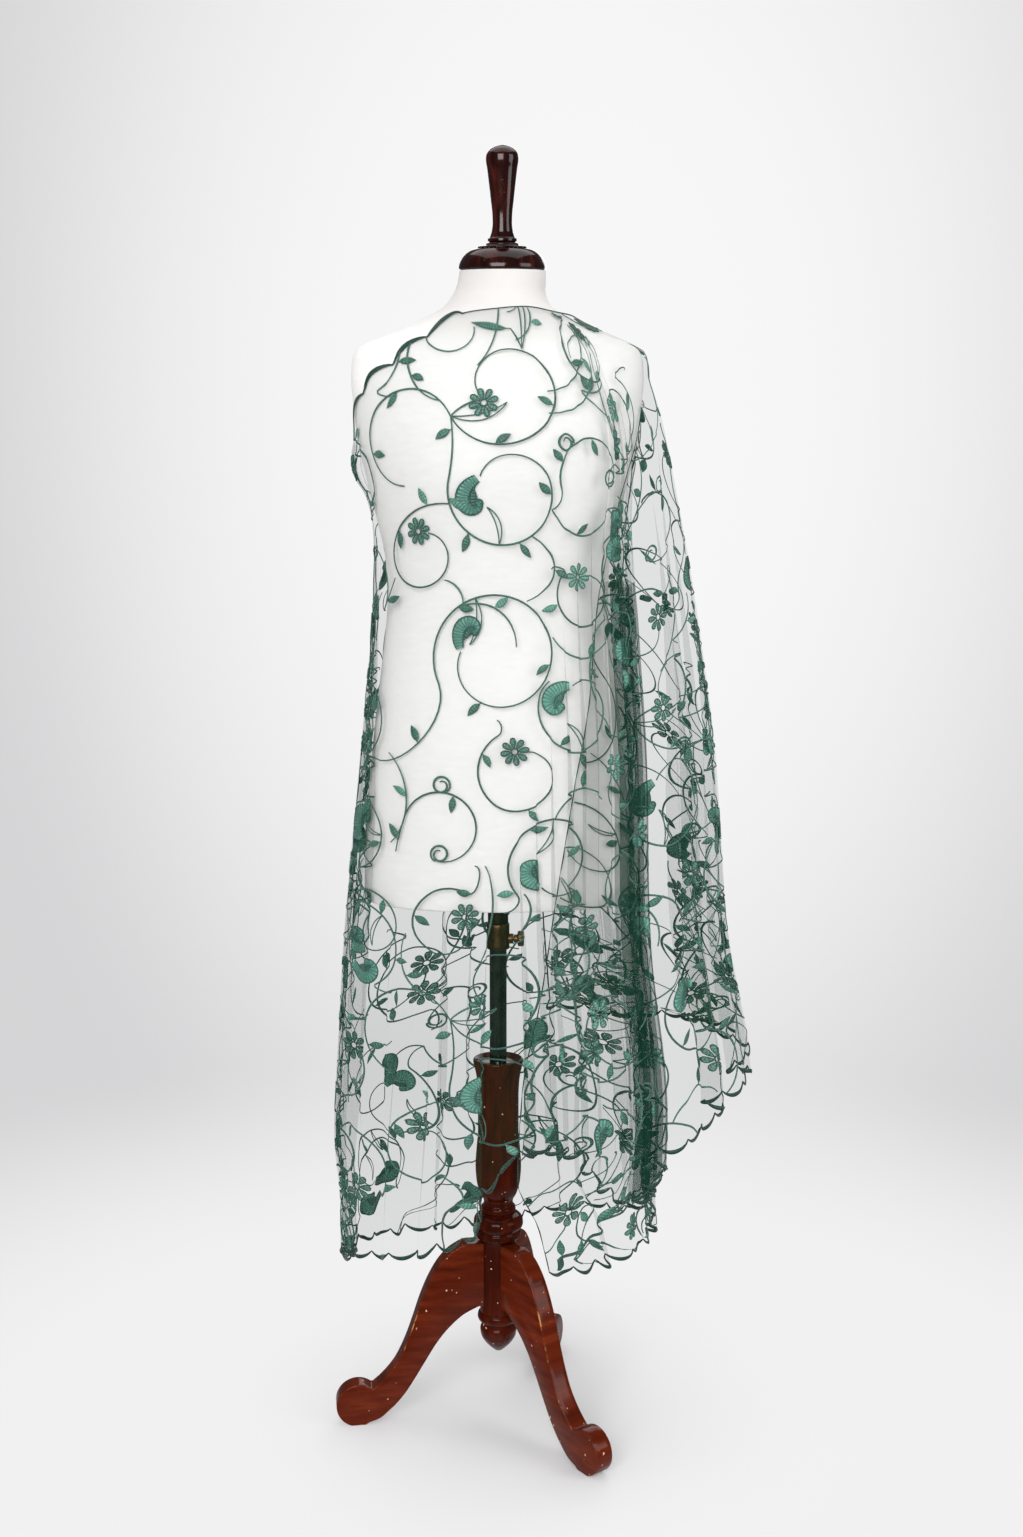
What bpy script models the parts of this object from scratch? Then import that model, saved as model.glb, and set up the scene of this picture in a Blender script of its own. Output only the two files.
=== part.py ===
"""Net dupatta wound round a limbless dress form on a wooden tripod stand.

Metres, +Z up, and the front faces -Y. Angles are degrees round the pole from +X, the viewer's
right in a front view: 90 is the back, 180 the left side and 270 the front. The dupatta is one
length of net. Its first turn starts at the front right, runs round the right side and the back,
and its second turn crosses the chest and falls over the shoulder. A height is above the floor.
"""

import math
from collections import namedtuple

import bpy
import numpy as np

# Cloth sizes
WALL = 0.0012
SEAM_GAP = 0.0003
NARROWEST_SEAM = 0.110
CLOTH_OFF_BODY = 0.0026
CLOTH_OFF_SHOULDER = 0.0034
LAYER_GAP = 0.0034
SHOULDER_REST = (1.300, 1.330)
SCALLOP_WIDTH = 0.030
SCALLOP_DEPTH = 0.010
SCALLOP_FULLNESS = 0.75
NECKLINE_SCALLOP_WIDTH = 0.049
NECKLINE_SCALLOP_DEPTH = 0.009
NECKLINE_SCALLOPS = (188.0, 240.0)
HEM_BAND = 0.014
NECKLINE_BAND = 0.006
FINE_PER_COLUMN = 3

# Form sizes
FORM_BOTTOM = 0.665
FORM_EDGE_ROUND = 0.003
NECK_TOP = 1.411
NECK_TILT = 8.0
TILT_STARTS = 1.362
NECK_SIDE_SHIFT = 0.006
FORM_SEGMENTS = 32
BUST_HEIGHT = 1.190
BUST_ANGLES = (245.0, 295.0)
BUST_RISE = 0.014
BUST_SPREAD_ANGLE = 18.0
BUST_SPREAD_HEIGHT = 0.065

# Stand sizes
POLE_RADIUS = 0.0105
POLE_TOP = 0.825
POLE_FOOT = 0.385
FIT_GAP = 0.0003
BORE_RADIUS = POLE_RADIUS + FIT_GAP
BORE_TOP = 0.915
SOCKET_RADIUS = 0.0125
SOCKET_BOTTOM = 0.632
COLLAR_RADIUS = 0.0140
COLLAR_BOTTOM = 0.600
BOSS_RADIUS = 0.0062
BOSS_END = 0.0190
BOSS_ROOT = 0.0015
HOLE_OVERRUN = 0.002
SCREW_HEIGHT = 0.612
SCREW_HOLE_RADIUS = 0.0029
LEG_THICKNESS = 0.024
LEG_ANGLES = {"leg_left": 188.0, "leg_front": 308.0, "leg_back": 68.0}
SHAFT_RADIUS = 0.023
LEG_SEAT_RADIUS = 0.0236
FOOT_REACH = 0.178
FOOT_RADIUS = 0.0270
FOOT_CENTRE_HEIGHT = 0.0257
HEEL_SETBACK = 0.0095
TURNED_SEGMENTS = 20
HANDLE_SEGMENTS = 16

BodySection = namedtuple("BodySection", "height half_width front back power")
BODY_SECTIONS = (
    BodySection(1.411, 0.0505, 0.0520, 0.0520, 2.0),
    BodySection(1.389, 0.0530, 0.0550, 0.0550, 2.0),
    BodySection(1.372, 0.0610, 0.0610, 0.0620, 2.0),
    BodySection(1.360, 0.0760, 0.0670, 0.0690, 2.0),
    BodySection(1.349, 0.1000, 0.0720, 0.0750, 2.0),
    BodySection(1.337, 0.1270, 0.0760, 0.0810, 2.0),
    BodySection(1.326, 0.1550, 0.0790, 0.0850, 2.0),
    BodySection(1.318, 0.1670, 0.0820, 0.0870, 2.0),
    BodySection(1.306, 0.1720, 0.0870, 0.0910, 2.0),
    BodySection(1.285, 0.1730, 0.0930, 0.0960, 2.1),
    BodySection(1.262, 0.1710, 0.1000, 0.1000, 2.2),
    BodySection(1.215, 0.1660, 0.1090, 0.1030, 2.3),
    BodySection(1.168, 0.1550, 0.1130, 0.1010, 2.3),
    BodySection(1.121, 0.1435, 0.1090, 0.0950, 2.3),
    BodySection(1.074, 0.1340, 0.1030, 0.0890, 2.2),
    BodySection(1.026, 0.1320, 0.1000, 0.0890, 2.2),
    BodySection(0.966, 0.1375, 0.1030, 0.0980, 2.2),
    BodySection(0.906, 0.1450, 0.1075, 0.1090, 2.2),
    BodySection(0.845, 0.1520, 0.1100, 0.1170, 2.2),
    BodySection(0.784, 0.1580, 0.1100, 0.1200, 2.2),
    BodySection(0.722, 0.1625, 0.1080, 0.1190, 2.2),
    BodySection(0.665, 0.1630, 0.1050, 0.1160, 2.2),
)

# How far the cloth of the first turn stands from the axis on each side, where it hangs free
HangSection = namedtuple("HangSection", "height left right front back")
HANG_SECTIONS = (
    HangSection(1.340, 0.090, 0.090, 0.060, 0.060),
    HangSection(1.262, 0.165, 0.165, 0.096, 0.096),
    HangSection(1.215, 0.168, 0.166, 0.106, 0.102),
    HangSection(1.186, 0.1695, 0.163, 0.110, 0.103),
    HangSection(1.168, 0.165, 0.160, 0.111, 0.103),
    HangSection(1.145, 0.151, 0.156, 0.111, 0.102),
    HangSection(1.074, 0.148, 0.150, 0.108, 0.101),
    HangSection(1.026, 0.150, 0.149, 0.106, 0.102),
    HangSection(0.966, 0.154, 0.151, 0.107, 0.106),
    HangSection(0.906, 0.160, 0.156, 0.109, 0.113),
    HangSection(0.833, 0.1675, 0.162, 0.112, 0.121),
    HangSection(0.722, 0.179, 0.170, 0.113, 0.126),
    HangSection(0.610, 0.190, 0.177, 0.119, 0.132),
    HangSection(0.484, 0.198, 0.186, 0.133, 0.142),
    HangSection(0.369, 0.204, 0.193, 0.147, 0.150),
    HangSection(0.278, 0.197, 0.198, 0.157, 0.156),
    HangSection(0.170, 0.199, 0.202, 0.163, 0.162),
)
HANG_POWER = 2.15
LIFT_OFF_BLEND = 0.002

# The cape's silhouette on the right side, and how much of it each angle has
CapeReach = namedtuple("CapeReach", "height reach")
CAPE_REACH = (
    CapeReach(1.360, 0.050),
    CapeReach(1.330, 0.120),
    CapeReach(1.305, 0.170),
    CapeReach(1.274, 0.183),
    CapeReach(1.239, 0.194),
    CapeReach(1.204, 0.202),
    CapeReach(1.145, 0.214),
    CapeReach(1.074, 0.228),
    CapeReach(0.966, 0.246),
    CapeReach(0.845, 0.263),
    CapeReach(0.722, 0.2735),
    CapeReach(0.598, 0.2840),
    CapeReach(0.460, 0.2970),
    CapeReach(0.340, 0.3030),
)
CapeShare = namedtuple("CapeShare", "angle share")
CAPE_SHARE = (
    CapeShare(276, 0.00),
    CapeShare(296, 0.05),
    CapeShare(308, 0.20),
    CapeShare(320, 0.42),
    CapeShare(332, 0.64),
    CapeShare(344, 0.84),
    CapeShare(356, 1.00),
    CapeShare(376, 1.00),
    CapeShare(392, 0.88),
    CapeShare(410, 0.62),
    CapeShare(430, 0.34),
)
CAPE_NARROW_TOP = 2.0
CAPE_TOP = 1.26
CAPE_FOOT = 0.40

# Where the second turn lies over the first, and how far it stands off below the form
OVERLAP_STARTS = (262.0, 274.0)
LOOSE_OVER = 0.018
LOOSE_HEIGHTS = (0.660, 0.420)
LOOSE_ANGLES = (276.0, 290.0)
SETTLE_BLEND = 0.001

EdgePoint = namedtuple("EdgePoint", "angle height")
FIRST_TOP = (
    EdgePoint(-76, 1.250),
    EdgePoint(-40, 1.272),
    EdgePoint(0, 1.283),
    EdgePoint(45, 1.292),
    EdgePoint(80, 1.285),
    EdgePoint(120, 1.262),
    EdgePoint(150, 1.232),
    EdgePoint(168, 1.216),
)
FIRST_HEM = (
    EdgePoint(-76, 0.250),
    EdgePoint(-49, 0.252),
    EdgePoint(-6, 0.260),
    EdgePoint(45, 0.228),
    EdgePoint(90, 0.198),
    EdgePoint(120, 0.192),
    EdgePoint(150, 0.202),
    EdgePoint(168, 0.214),
)
SECOND_TOP = (
    EdgePoint(168, 1.216),
    EdgePoint(180, 1.216),
    EdgePoint(190, 1.231),
    EdgePoint(200, 1.268),
    EdgePoint(212, 1.299),
    EdgePoint(222, 1.325),
    EdgePoint(237, 1.351),
    EdgePoint(271, 1.357),
    EdgePoint(300, 1.360),
    EdgePoint(330, 1.3565),
    EdgePoint(370, 1.3565),
    EdgePoint(400, 1.352),
    EdgePoint(430, 1.338),
)
SECOND_HEM = (
    EdgePoint(168, 0.214),
    EdgePoint(180, 0.221),
    EdgePoint(200, 0.244),
    EdgePoint(236, 0.270),
    EdgePoint(255, 0.291),
    EdgePoint(264, 0.309),
    EdgePoint(272, 0.352),
    EdgePoint(278, 0.394),
    EdgePoint(290, 0.404),
    EdgePoint(303, 0.400),
    EdgePoint(313, 0.366),
    EdgePoint(322, 0.352),
    EdgePoint(331, 0.384),
    EdgePoint(345, 0.442),
    EdgePoint(360, 0.476),
    EdgePoint(380, 0.484),
    EdgePoint(405, 0.470),
    EdgePoint(430, 0.492),
)

# Folds: each row is a ridge, with the depth of the valley after it and where the valley starts
Fold = namedtuple("Fold", "angle depth starts full")
FIRST_FOLDS = (
    Fold(-76, 0.011, 0.70, 0.30),
    Fold(-50, 0.016, 0.72, 0.28),
    Fold(-29, 0.008, 0.66, 0.30),
    Fold(-4, 0.017, 0.71, 0.32),
    Fold(24, 0.010, 0.70, 0.30),
    Fold(45, 0.018, 0.68, 0.26),
    Fold(67, 0.009, 0.64, 0.24),
    Fold(82, 0.020, 0.69, 0.24),
    Fold(110, 0.010, 0.66, 0.26),
    Fold(126, 0.018, 0.70, 0.25),
    Fold(152, 0.010, 0.68, 0.28),
    Fold(168, 0.000, 0.70, 0.28),
)
SECOND_FOLDS = (
    Fold(168, 0.007, 0.68, 0.28),
    Fold(182, 0.016, 0.74, 0.30),
    Fold(207, 0.007, 0.64, 0.30),
    Fold(223, 0.013, 0.70, 0.30),
    Fold(250, 0.008, 0.66, 0.32),
    Fold(264, 0.018, 0.72, 0.36),
    Fold(286, 0.009, 0.80, 0.40),
    Fold(303, 0.015, 0.98, 0.42),
    Fold(322, 0.019, 1.20, 0.42),
    Fold(330, 0.023, 1.24, 0.45),
    Fold(338, 0.018, 1.25, 0.45),
    Fold(348, 0.028, 1.25, 0.46),
    Fold(357, 0.021, 1.26, 0.46),
    Fold(366, 0.029, 1.26, 0.46),
    Fold(378, 0.020, 1.25, 0.46),
    Fold(388, 0.026, 1.25, 0.47),
    Fold(401, 0.018, 1.24, 0.47),
    Fold(414, 0.016, 1.22, 0.48),
    Fold(430, 0.000, 1.20, 0.48),
)
FOLD_GROWTH = 1.25
DEEPEST_GROWTH = 1.15

# Small gathers where the cloth passes under the left arm
GATHER_FIRST = 170.5
GATHER_PITCH = 5.0
GATHER_COUNT = 6
GATHER_RISE = 0.0045
GATHER_HEIGHTS = (1.100, 1.160, 1.200, 1.222)

# How far the folds of the second turn lean round the pole by the hem, in degrees
Lean = namedtuple("Lean", "angle lean")
SECOND_LEAN = (
    Lean(168, 0.0),
    Lean(240, 0.0),
    Lean(290, -4.0),
    Lean(322, -9.0),
    Lean(340, -6.0),
    Lean(362, 0.0),
    Lean(400, 4.0),
    Lean(430, 0.0),
)
LEAN_TOP = 1.25
LEAN_FOOT = 0.40

# The first short edge isn't straight: its shift in degrees at each height
EdgeShift = namedtuple("EdgeShift", "height shift")
FIRST_EDGE_SHIFT = (
    EdgeShift(1.250, 66.0),
    EdgeShift(1.120, 54.0),
    EdgeShift(1.027, 45.0),
    EdgeShift(0.912, 38.0),
    EdgeShift(0.820, 29.0),
    EdgeShift(0.727, 22.0),
    EdgeShift(0.665, 17.0),
    EdgeShift(0.570, 9.0),
    EdgeShift(0.460, -2.0),
    EdgeShift(0.356, -5.0),
    EdgeShift(0.306, 3.0),
    EdgeShift(0.243, 8.0),
)
EDGE_SHIFT_FADES = (-76.0, 44.0)

# Where the rows of each turn lie between its top edge and its hem
FIRST_ROWS = (0, 0.02, 0.05, 0.09, 0.14, 0.195, 0.26, 0.34, 0.43, 0.53, 0.63, 0.74, 0.87, 1)
SECOND_ROWS = (0, 0.008, 0.018, 0.029, 0.042, 0.058, 0.078, 0.105, 0.14, 0.185, 0.24, 0.31, 0.40, 0.51,
               0.63, 0.75, 0.88, 1)

Stretch = namedtuple("Stretch", "name turn first last rows fold_columns")
STRETCHES = (
    Stretch("inner_end", 1, -76, 45, FIRST_ROWS, 4),
    Stretch("back_wrap", 1, 45, 168, FIRST_ROWS, 4),
    Stretch("front_wrap", 2, 168, 322, SECOND_ROWS, 4),
    Stretch("shoulder_fall", 2, 322, 430, SECOND_ROWS, 4),
)

# Heights of the form's sections between the neck's top and its bottom edge
FORM_ROWS = (1.389, 1.376, 1.366, 1.358, 1.350, 1.342, 1.333, 1.325, 1.316, 1.304, 1.285, 1.255, 1.220,
             1.185, 1.150, 1.110, 1.065, 1.020, 0.970, 0.910, 0.850, 0.790, 0.730, 0.680)

# Turned outlines, from the top of the piece down its outer side
Turn = namedtuple("Turn", "radius height")
NECK_CAP = (
    Turn(0.0290, 1.4357),
    Turn(0.0310, 1.4345),
    Turn(0.0370, 1.4305),
    Turn(0.0440, 1.4245),
    Turn(0.0485, 1.4185),
    Turn(0.0495, 1.4155),
    Turn(0.0485, 1.4125),
    Turn(0.0465, 1.4115),
)
NECK_HANDLE = (
    Turn(0.0060, 1.5500),
    Turn(0.0120, 1.5485),
    Turn(0.0158, 1.5455),
    Turn(0.0178, 1.5425),
    Turn(0.0185, 1.5390),
    Turn(0.0180, 1.5350),
    Turn(0.0168, 1.5240),
    Turn(0.0150, 1.5080),
    Turn(0.0130, 1.4900),
    Turn(0.0115, 1.4740),
    Turn(0.0116, 1.4640),
    Turn(0.0126, 1.4550),
    Turn(0.0142, 1.4500),
    Turn(0.0150, 1.4480),
    Turn(0.0172, 1.4465),
    Turn(0.0172, 1.4440),
    Turn(0.0152, 1.4428),
    Turn(0.0190, 1.4412),
    Turn(0.0196, 1.4395),
    Turn(0.0230, 1.4385),
    Turn(0.0285, 1.4378),
    Turn(0.0292, 1.4368),
    Turn(0.0285, 1.4360),
)
COLUMN = (
    Turn(0.0108, 0.4560),
    Turn(0.0200, 0.4570),
    Turn(0.0270, 0.4605),
    Turn(0.0295, 0.4612),
    Turn(0.0310, 0.4590),
    Turn(0.0306, 0.4550),
    Turn(0.0280, 0.4440),
    Turn(0.0262, 0.4320),
    Turn(0.0253, 0.4140),
    Turn(0.0253, 0.3690),
    Turn(0.0270, 0.3480),
    Turn(0.0285, 0.3240),
    Turn(0.0272, 0.3050),
    Turn(0.0230, 0.2890),
    Turn(0.0182, 0.2790),
    Turn(0.0182, 0.2750),
    Turn(0.0212, 0.2715),
    Turn(0.0216, 0.2675),
    Turn(0.0200, 0.2640),
    Turn(0.0262, 0.2610),
    Turn(0.0304, 0.2555),
    Turn(0.0310, 0.2500),
    Turn(0.0290, 0.2445),
    Turn(0.0265, 0.2425),
    Turn(0.0282, 0.2395),
    Turn(0.0280, 0.2345),
    Turn(0.0255, 0.2310),
    Turn(SHAFT_RADIUS, 0.2290),
    Turn(SHAFT_RADIUS, 0.1358),
)
DROP_FINIAL = (
    Turn(0.0225, 0.1355),
    Turn(0.0255, 0.1325),
    Turn(0.0262, 0.1285),
    Turn(0.0250, 0.1245),
    Turn(0.0205, 0.1218),
    Turn(0.0212, 0.1180),
    Turn(0.0230, 0.1120),
    Turn(0.0222, 0.1050),
    Turn(0.0180, 0.0965),
    Turn(0.0110, 0.0885),
    Turn(0.0055, 0.0835),
)
THUMB_SCREW = (
    Turn(0.0025, 0.0108),
    Turn(0.0025, 0.0194),
    Turn(0.0048, 0.0194),
    Turn(0.0052, 0.0235),
    Turn(0.0090, 0.0245),
    Turn(0.0096, 0.0265),
    Turn(0.0096, 0.0300),
    Turn(0.0085, 0.0318),
)

# A leg's outline: distance from the axis and height
LegPoint = namedtuple("LegPoint", "reach height")
LEG_TOP_EDGE = (
    LegPoint(LEG_SEAT_RADIUS, 0.2270),
    LegPoint(0.0400, 0.2275),
    LegPoint(0.0580, 0.2200),
    LegPoint(0.0740, 0.2050),
    LegPoint(0.0880, 0.1820),
    LegPoint(0.0990, 0.1560),
    LegPoint(0.1080, 0.1290),
    LegPoint(0.1180, 0.1020),
    LegPoint(0.1310, 0.0760),
    LegPoint(0.1470, 0.0570),
    LegPoint(0.1585, 0.0470),
)
LEG_UNDER_EDGE = (
    LegPoint(0.1640, 0.0030),
    LegPoint(0.1520, 0.0070),
    LegPoint(0.1370, 0.0185),
    LegPoint(0.1200, 0.0370),
    LegPoint(0.1060, 0.0580),
    LegPoint(0.0920, 0.0810),
    LegPoint(0.0780, 0.1030),
    LegPoint(0.0620, 0.1220),
    LegPoint(0.0440, 0.1370),
    LegPoint(LEG_SEAT_RADIUS, 0.1470),
)
FOOT_ARC = (128.0, -72.0)
FOOT_ARC_STEPS = 12
LEG_EDGE_STEPS = 12
LEG_LAYERS = 4


def column_of(table, name):
    return [getattr(row, name) for row in table]


def smooth_curve(xs, ys, at):
    """A monotone cubic through the points, so that a table of sections gives a shape without corners."""
    order = np.argsort(xs)
    xs = np.asarray(xs, float)[order]
    ys = np.asarray(ys, float)[order]
    at = np.clip(at, xs[0], xs[-1])
    steps = np.diff(xs)
    slopes = np.diff(ys) / steps
    same_sign = slopes[:-1] * slopes[1:] > 0
    sums = np.where(same_sign, slopes[:-1] + slopes[1:], 1.0)
    inner = np.where(same_sign, 2 * slopes[:-1] * slopes[1:] / sums, 0.0)
    tangents = np.concatenate([slopes[:1], inner, slopes[-1:]])
    k = np.clip(np.searchsorted(xs, at) - 1, 0, len(steps) - 1)
    f = (at - xs[k]) / steps[k]
    value = (2 * f**3 - 3 * f**2 + 1) * ys[k] + (3 * f**2 - 2 * f**3) * ys[k + 1]
    start_bend = (f**3 - 2 * f**2 + f) * steps[k] * tangents[k]
    end_bend = (f**3 - f**2) * steps[k] * tangents[k + 1]
    return value + start_bend + end_bend


def read(table, key, value, at):
    return smooth_curve(column_of(table, key), column_of(table, value), at)


def ramp(low, high, at):
    """0 at low, 1 at high, with level ends. It also runs down when low is above high."""
    f = np.clip((np.asarray(at, float) - low) / (high - low), 0, 1)
    return f * f * (3 - 2 * f)


def soft_max(a, b, width):
    return (a + b + np.sqrt((a - b) ** 2 + width**2)) / 2


def ellipse_radius(angle, half_width, depth, power):
    across = np.abs(np.cos(np.radians(angle))) / half_width
    along = np.abs(np.sin(np.radians(angle))) / depth
    return (across**power + along**power) ** (-1 / power)


def body_radius(angle, height):
    """The form's surface: an oval section at each height, with the bust added."""
    behind = np.sin(np.radians(angle)) > 0
    depth = np.where(
        behind,
        read(BODY_SECTIONS, "height", "back", height),
        read(BODY_SECTIONS, "height", "front", height),
    )
    radius = ellipse_radius(
        angle,
        read(BODY_SECTIONS, "height", "half_width", height),
        depth,
        read(BODY_SECTIONS, "height", "power", height),
    )
    for apex in BUST_ANGLES:
        round_apex = ((np.asarray(angle, float) - apex + 180) % 360 - 180) / BUST_SPREAD_ANGLE
        above_apex = (height - BUST_HEIGHT) / BUST_SPREAD_HEIGHT
        radius = radius + BUST_RISE * np.exp(-(round_apex**2 + above_apex**2) / 2)
    return radius


def base_radius(angle, height):
    """The cloth's smooth surface in the first turn, before folds: on the form or hanging free of it."""
    cosine = np.cos(np.radians(angle))
    sine = np.sin(np.radians(angle))
    side = np.where(
        cosine > 0,
        read(HANG_SECTIONS, "height", "right", height),
        read(HANG_SECTIONS, "height", "left", height),
    )
    depth = np.where(
        sine > 0,
        read(HANG_SECTIONS, "height", "back", height),
        read(HANG_SECTIONS, "height", "front", height),
    )
    off = CLOTH_OFF_BODY + (CLOTH_OFF_SHOULDER - CLOTH_OFF_BODY) * ramp(*SHOULDER_REST, height)
    hanging = ellipse_radius(angle, side, depth, HANG_POWER)
    return soft_max(hanging, body_radius(angle, height) + off, LIFT_OFF_BLEND)


def fold_depth(folds, angle, height):
    """How far the cloth lies inside its ridges: a rounded valley between each ridge and the next."""
    ridges = column_of(folds, "angle")
    k = np.clip(np.searchsorted(ridges, angle, side="right") - 1, 0, len(folds) - 2)
    ridges = np.asarray(ridges, float)
    phase = (angle - ridges[k]) / (ridges[k + 1] - ridges[k])
    starts = np.asarray(column_of(folds, "starts"))[k]
    full = np.asarray(column_of(folds, "full"))[k]
    growth = np.clip((starts - height) / (starts - full), 0, DEEPEST_GROWTH) ** FOLD_GROWTH
    return np.asarray(column_of(folds, "depth"))[k] * growth * np.sin(np.pi * np.clip(phase, 0, 1)) ** 2


def gather_rise(angle, height):
    phase = (angle - GATHER_FIRST) / GATHER_PITCH
    inside = (phase > 0) & (phase < GATHER_COUNT)
    low, full, still, high = GATHER_HEIGHTS
    window = ramp(low, full, height) * ramp(high, still, height)
    return GATHER_RISE * inside * window * np.sin(np.pi * phase) ** 2


def first_turn(angle, height):
    """Radius and true angle of a point of the first turn."""
    fade = ramp(EDGE_SHIFT_FADES[1], EDGE_SHIFT_FADES[0], angle)
    true_angle = angle + fade * read(FIRST_EDGE_SHIFT, "height", "shift", height)
    return base_radius(true_angle, height) - fold_depth(FIRST_FOLDS, angle, height), true_angle


def second_turn(angle, height):
    """Radius and true angle of a point of the second turn, which clears the first where it lies over it."""
    leaning = np.clip((LEAN_TOP - height) / (LEAN_TOP - LEAN_FOOT), 0, 1.1) ** 2
    true_angle = angle + leaning * read(SECOND_LEAN, "angle", "lean", angle)
    base = base_radius(true_angle, height)
    over = ramp(*OVERLAP_STARTS, true_angle)
    below_shoulder = ramp(SHOULDER_REST[1], SHOULDER_REST[0], height)
    gap = LAYER_GAP * over * below_shoulder
    reach = read(CAPE_REACH, "height", "reach", height)
    spread = np.maximum(reach - base_radius(0.0, height) - LAYER_GAP, 0)
    narrow = 1 + (CAPE_NARROW_TOP - 1) * ramp(CAPE_FOOT, CAPE_TOP, height)
    cape = spread * read(CAPE_SHARE, "angle", "share", angle) ** narrow
    loose = LOOSE_OVER * ramp(*LOOSE_HEIGHTS, height) * ramp(*LOOSE_ANGLES, true_angle)
    lift = cape + loose - fold_depth(SECOND_FOLDS, angle, height) + gather_rise(angle, height)
    return base + gap + (1 - over) * lift + over * soft_max(lift, 0.0, SETTLE_BLEND), true_angle


TURNS = {1: first_turn, 2: second_turn}


def cloth_point(turn, angle, height):
    radius, true_angle = TURNS[turn](angle, height)
    flat = np.radians(true_angle)
    return np.stack([radius * np.cos(flat), radius * np.sin(flat), height + 0 * radius], axis=-1)


def cloth_normal(turn, angle, height):
    """Outward, from the surface's own slopes."""
    small_angle, small_height = 0.05, 0.0004
    along = cloth_point(turn, angle + small_angle, height) - cloth_point(turn, angle - small_angle, height)
    up = cloth_point(turn, angle, height + small_height) - cloth_point(turn, angle, height - small_height)
    normal = np.cross(along, up)
    return normal / np.linalg.norm(normal, axis=-1, keepdims=True)


def fold_columns(stretch):
    """Column angles: some in each fold, so that ridges and valleys lie on columns, and two in each gather."""
    ridges = column_of(FIRST_FOLDS if stretch.turn == 1 else SECOND_FOLDS, "angle")
    ridges = [ridge for ridge in ridges if stretch.first <= ridge <= stretch.last]
    angles = []
    for low, high in zip(ridges, ridges[1:]):
        angles += [low + (high - low) * k / stretch.fold_columns for k in range(stretch.fold_columns)]
    angles.append(ridges[-1])
    if stretch.turn == 2:
        gathers = [GATHER_FIRST + GATHER_PITCH * k / 2 for k in range(2 * GATHER_COUNT + 1)]
        gathers = [angle for angle in gathers if stretch.first < angle < stretch.last]
        room = GATHER_PITCH / 3
        kept = [angle for angle in angles if all(abs(angle - gather) > room for gather in gathers)]
        angles = sorted(kept + gathers)
    half_gap = math.degrees(SEAM_GAP / 2 / NARROWEST_SEAM)
    angles[0] = stretch.first + half_gap
    angles[-1] = stretch.last - half_gap
    return np.array(angles)


def edge_length(turn, edge, angles):
    """Length along an edge from its first angle to each of the angles."""
    fine = np.linspace(edge[0].angle, edge[-1].angle, 1500)
    points = cloth_point(turn, fine, read(edge, "angle", "height", fine))
    lengths = np.concatenate([[0], np.cumsum(np.linalg.norm(np.diff(points, axis=0), axis=1))])
    return np.interp(angles, fine, lengths)


def scallops(lengths, total, width, depth):
    """Lobes of about the given width, a whole number of them along the edge."""
    count = max(1, round(total / width))
    return depth * np.abs(np.sin(np.pi * count * lengths / total)) ** SCALLOP_FULLNESS


def hem_height(turn, angles):
    edge = FIRST_HEM if turn == 1 else SECOND_HEM
    total = edge_length(turn, edge, np.array([edge[-1].angle]))[0]
    lobes = scallops(edge_length(turn, edge, angles), total, SCALLOP_WIDTH, SCALLOP_DEPTH)
    return read(edge, "angle", "height", angles) - lobes


def top_height(turn, angles):
    edge = FIRST_TOP if turn == 1 else SECOND_TOP
    plain = read(edge, "angle", "height", angles)
    if turn == 1:
        return plain
    low, high = edge_length(turn, edge, np.array(NECKLINE_SCALLOPS))
    lengths = np.clip(edge_length(turn, edge, angles) - low, 0, high - low)
    return plain + scallops(lengths, high - low, NECKLINE_SCALLOP_WIDTH, NECKLINE_SCALLOP_DEPTH)


def stretch_grid(stretch):
    """Angles, heights and triangles of a stretch: rows from edge to edge, with a finer row on each edge."""
    columns = fold_columns(stretch)
    fine_places = np.arange(FINE_PER_COLUMN * (len(columns) - 1) + 1) / FINE_PER_COLUMN
    fine = np.interp(fine_places, np.arange(len(columns)), columns)
    top_edge, hem_edge = (FIRST_TOP, FIRST_HEM) if stretch.turn == 1 else (SECOND_TOP, SECOND_HEM)
    scalloped_top = stretch.name == "front_wrap"
    top = read(top_edge, "angle", "height", columns)
    if scalloped_top:
        top = top - NECKLINE_BAND
    bottom = read(hem_edge, "angle", "height", columns) + HEM_BAND
    rows = np.array(stretch.rows)[:, None]
    heights = top + (bottom - top) * rows
    angles = np.broadcast_to(columns, heights.shape)
    width = len(columns)
    count = heights.size
    triangles = []
    for row in range(len(stretch.rows) - 1):
        for column in range(width - 1):
            a = row * width + column
            b = a + width
            triangles += [(a, b, b + 1), (a, b + 1, a + 1)]
    all_angles = [angles.ravel(), fine]
    all_heights = [heights.ravel(), hem_height(stretch.turn, fine)]
    last = (len(stretch.rows) - 1) * width
    for column in range(width - 1):
        inside = last + column
        outside = count + column * FINE_PER_COLUMN
        half = FINE_PER_COLUMN // 2
        for k in range(FINE_PER_COLUMN):
            near = inside if k <= half else inside + 1
            triangles.append((near, outside + k, outside + k + 1))
        triangles.append((inside, outside + half + 1, inside + 1))
    if scalloped_top:
        all_angles.append(fine)
        all_heights.append(top_height(stretch.turn, fine))
        start = count + len(fine)
        for column in range(width - 1):
            outside = start + column * FINE_PER_COLUMN
            half = FINE_PER_COLUMN // 2
            for k in range(FINE_PER_COLUMN):
                near = column if k <= half else column + 1
                triangles.append((near, outside + k + 1, outside + k))
            triangles.append((column, column + 1, outside + half + 1))
    return np.concatenate(all_angles), np.concatenate(all_heights), triangles


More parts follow.
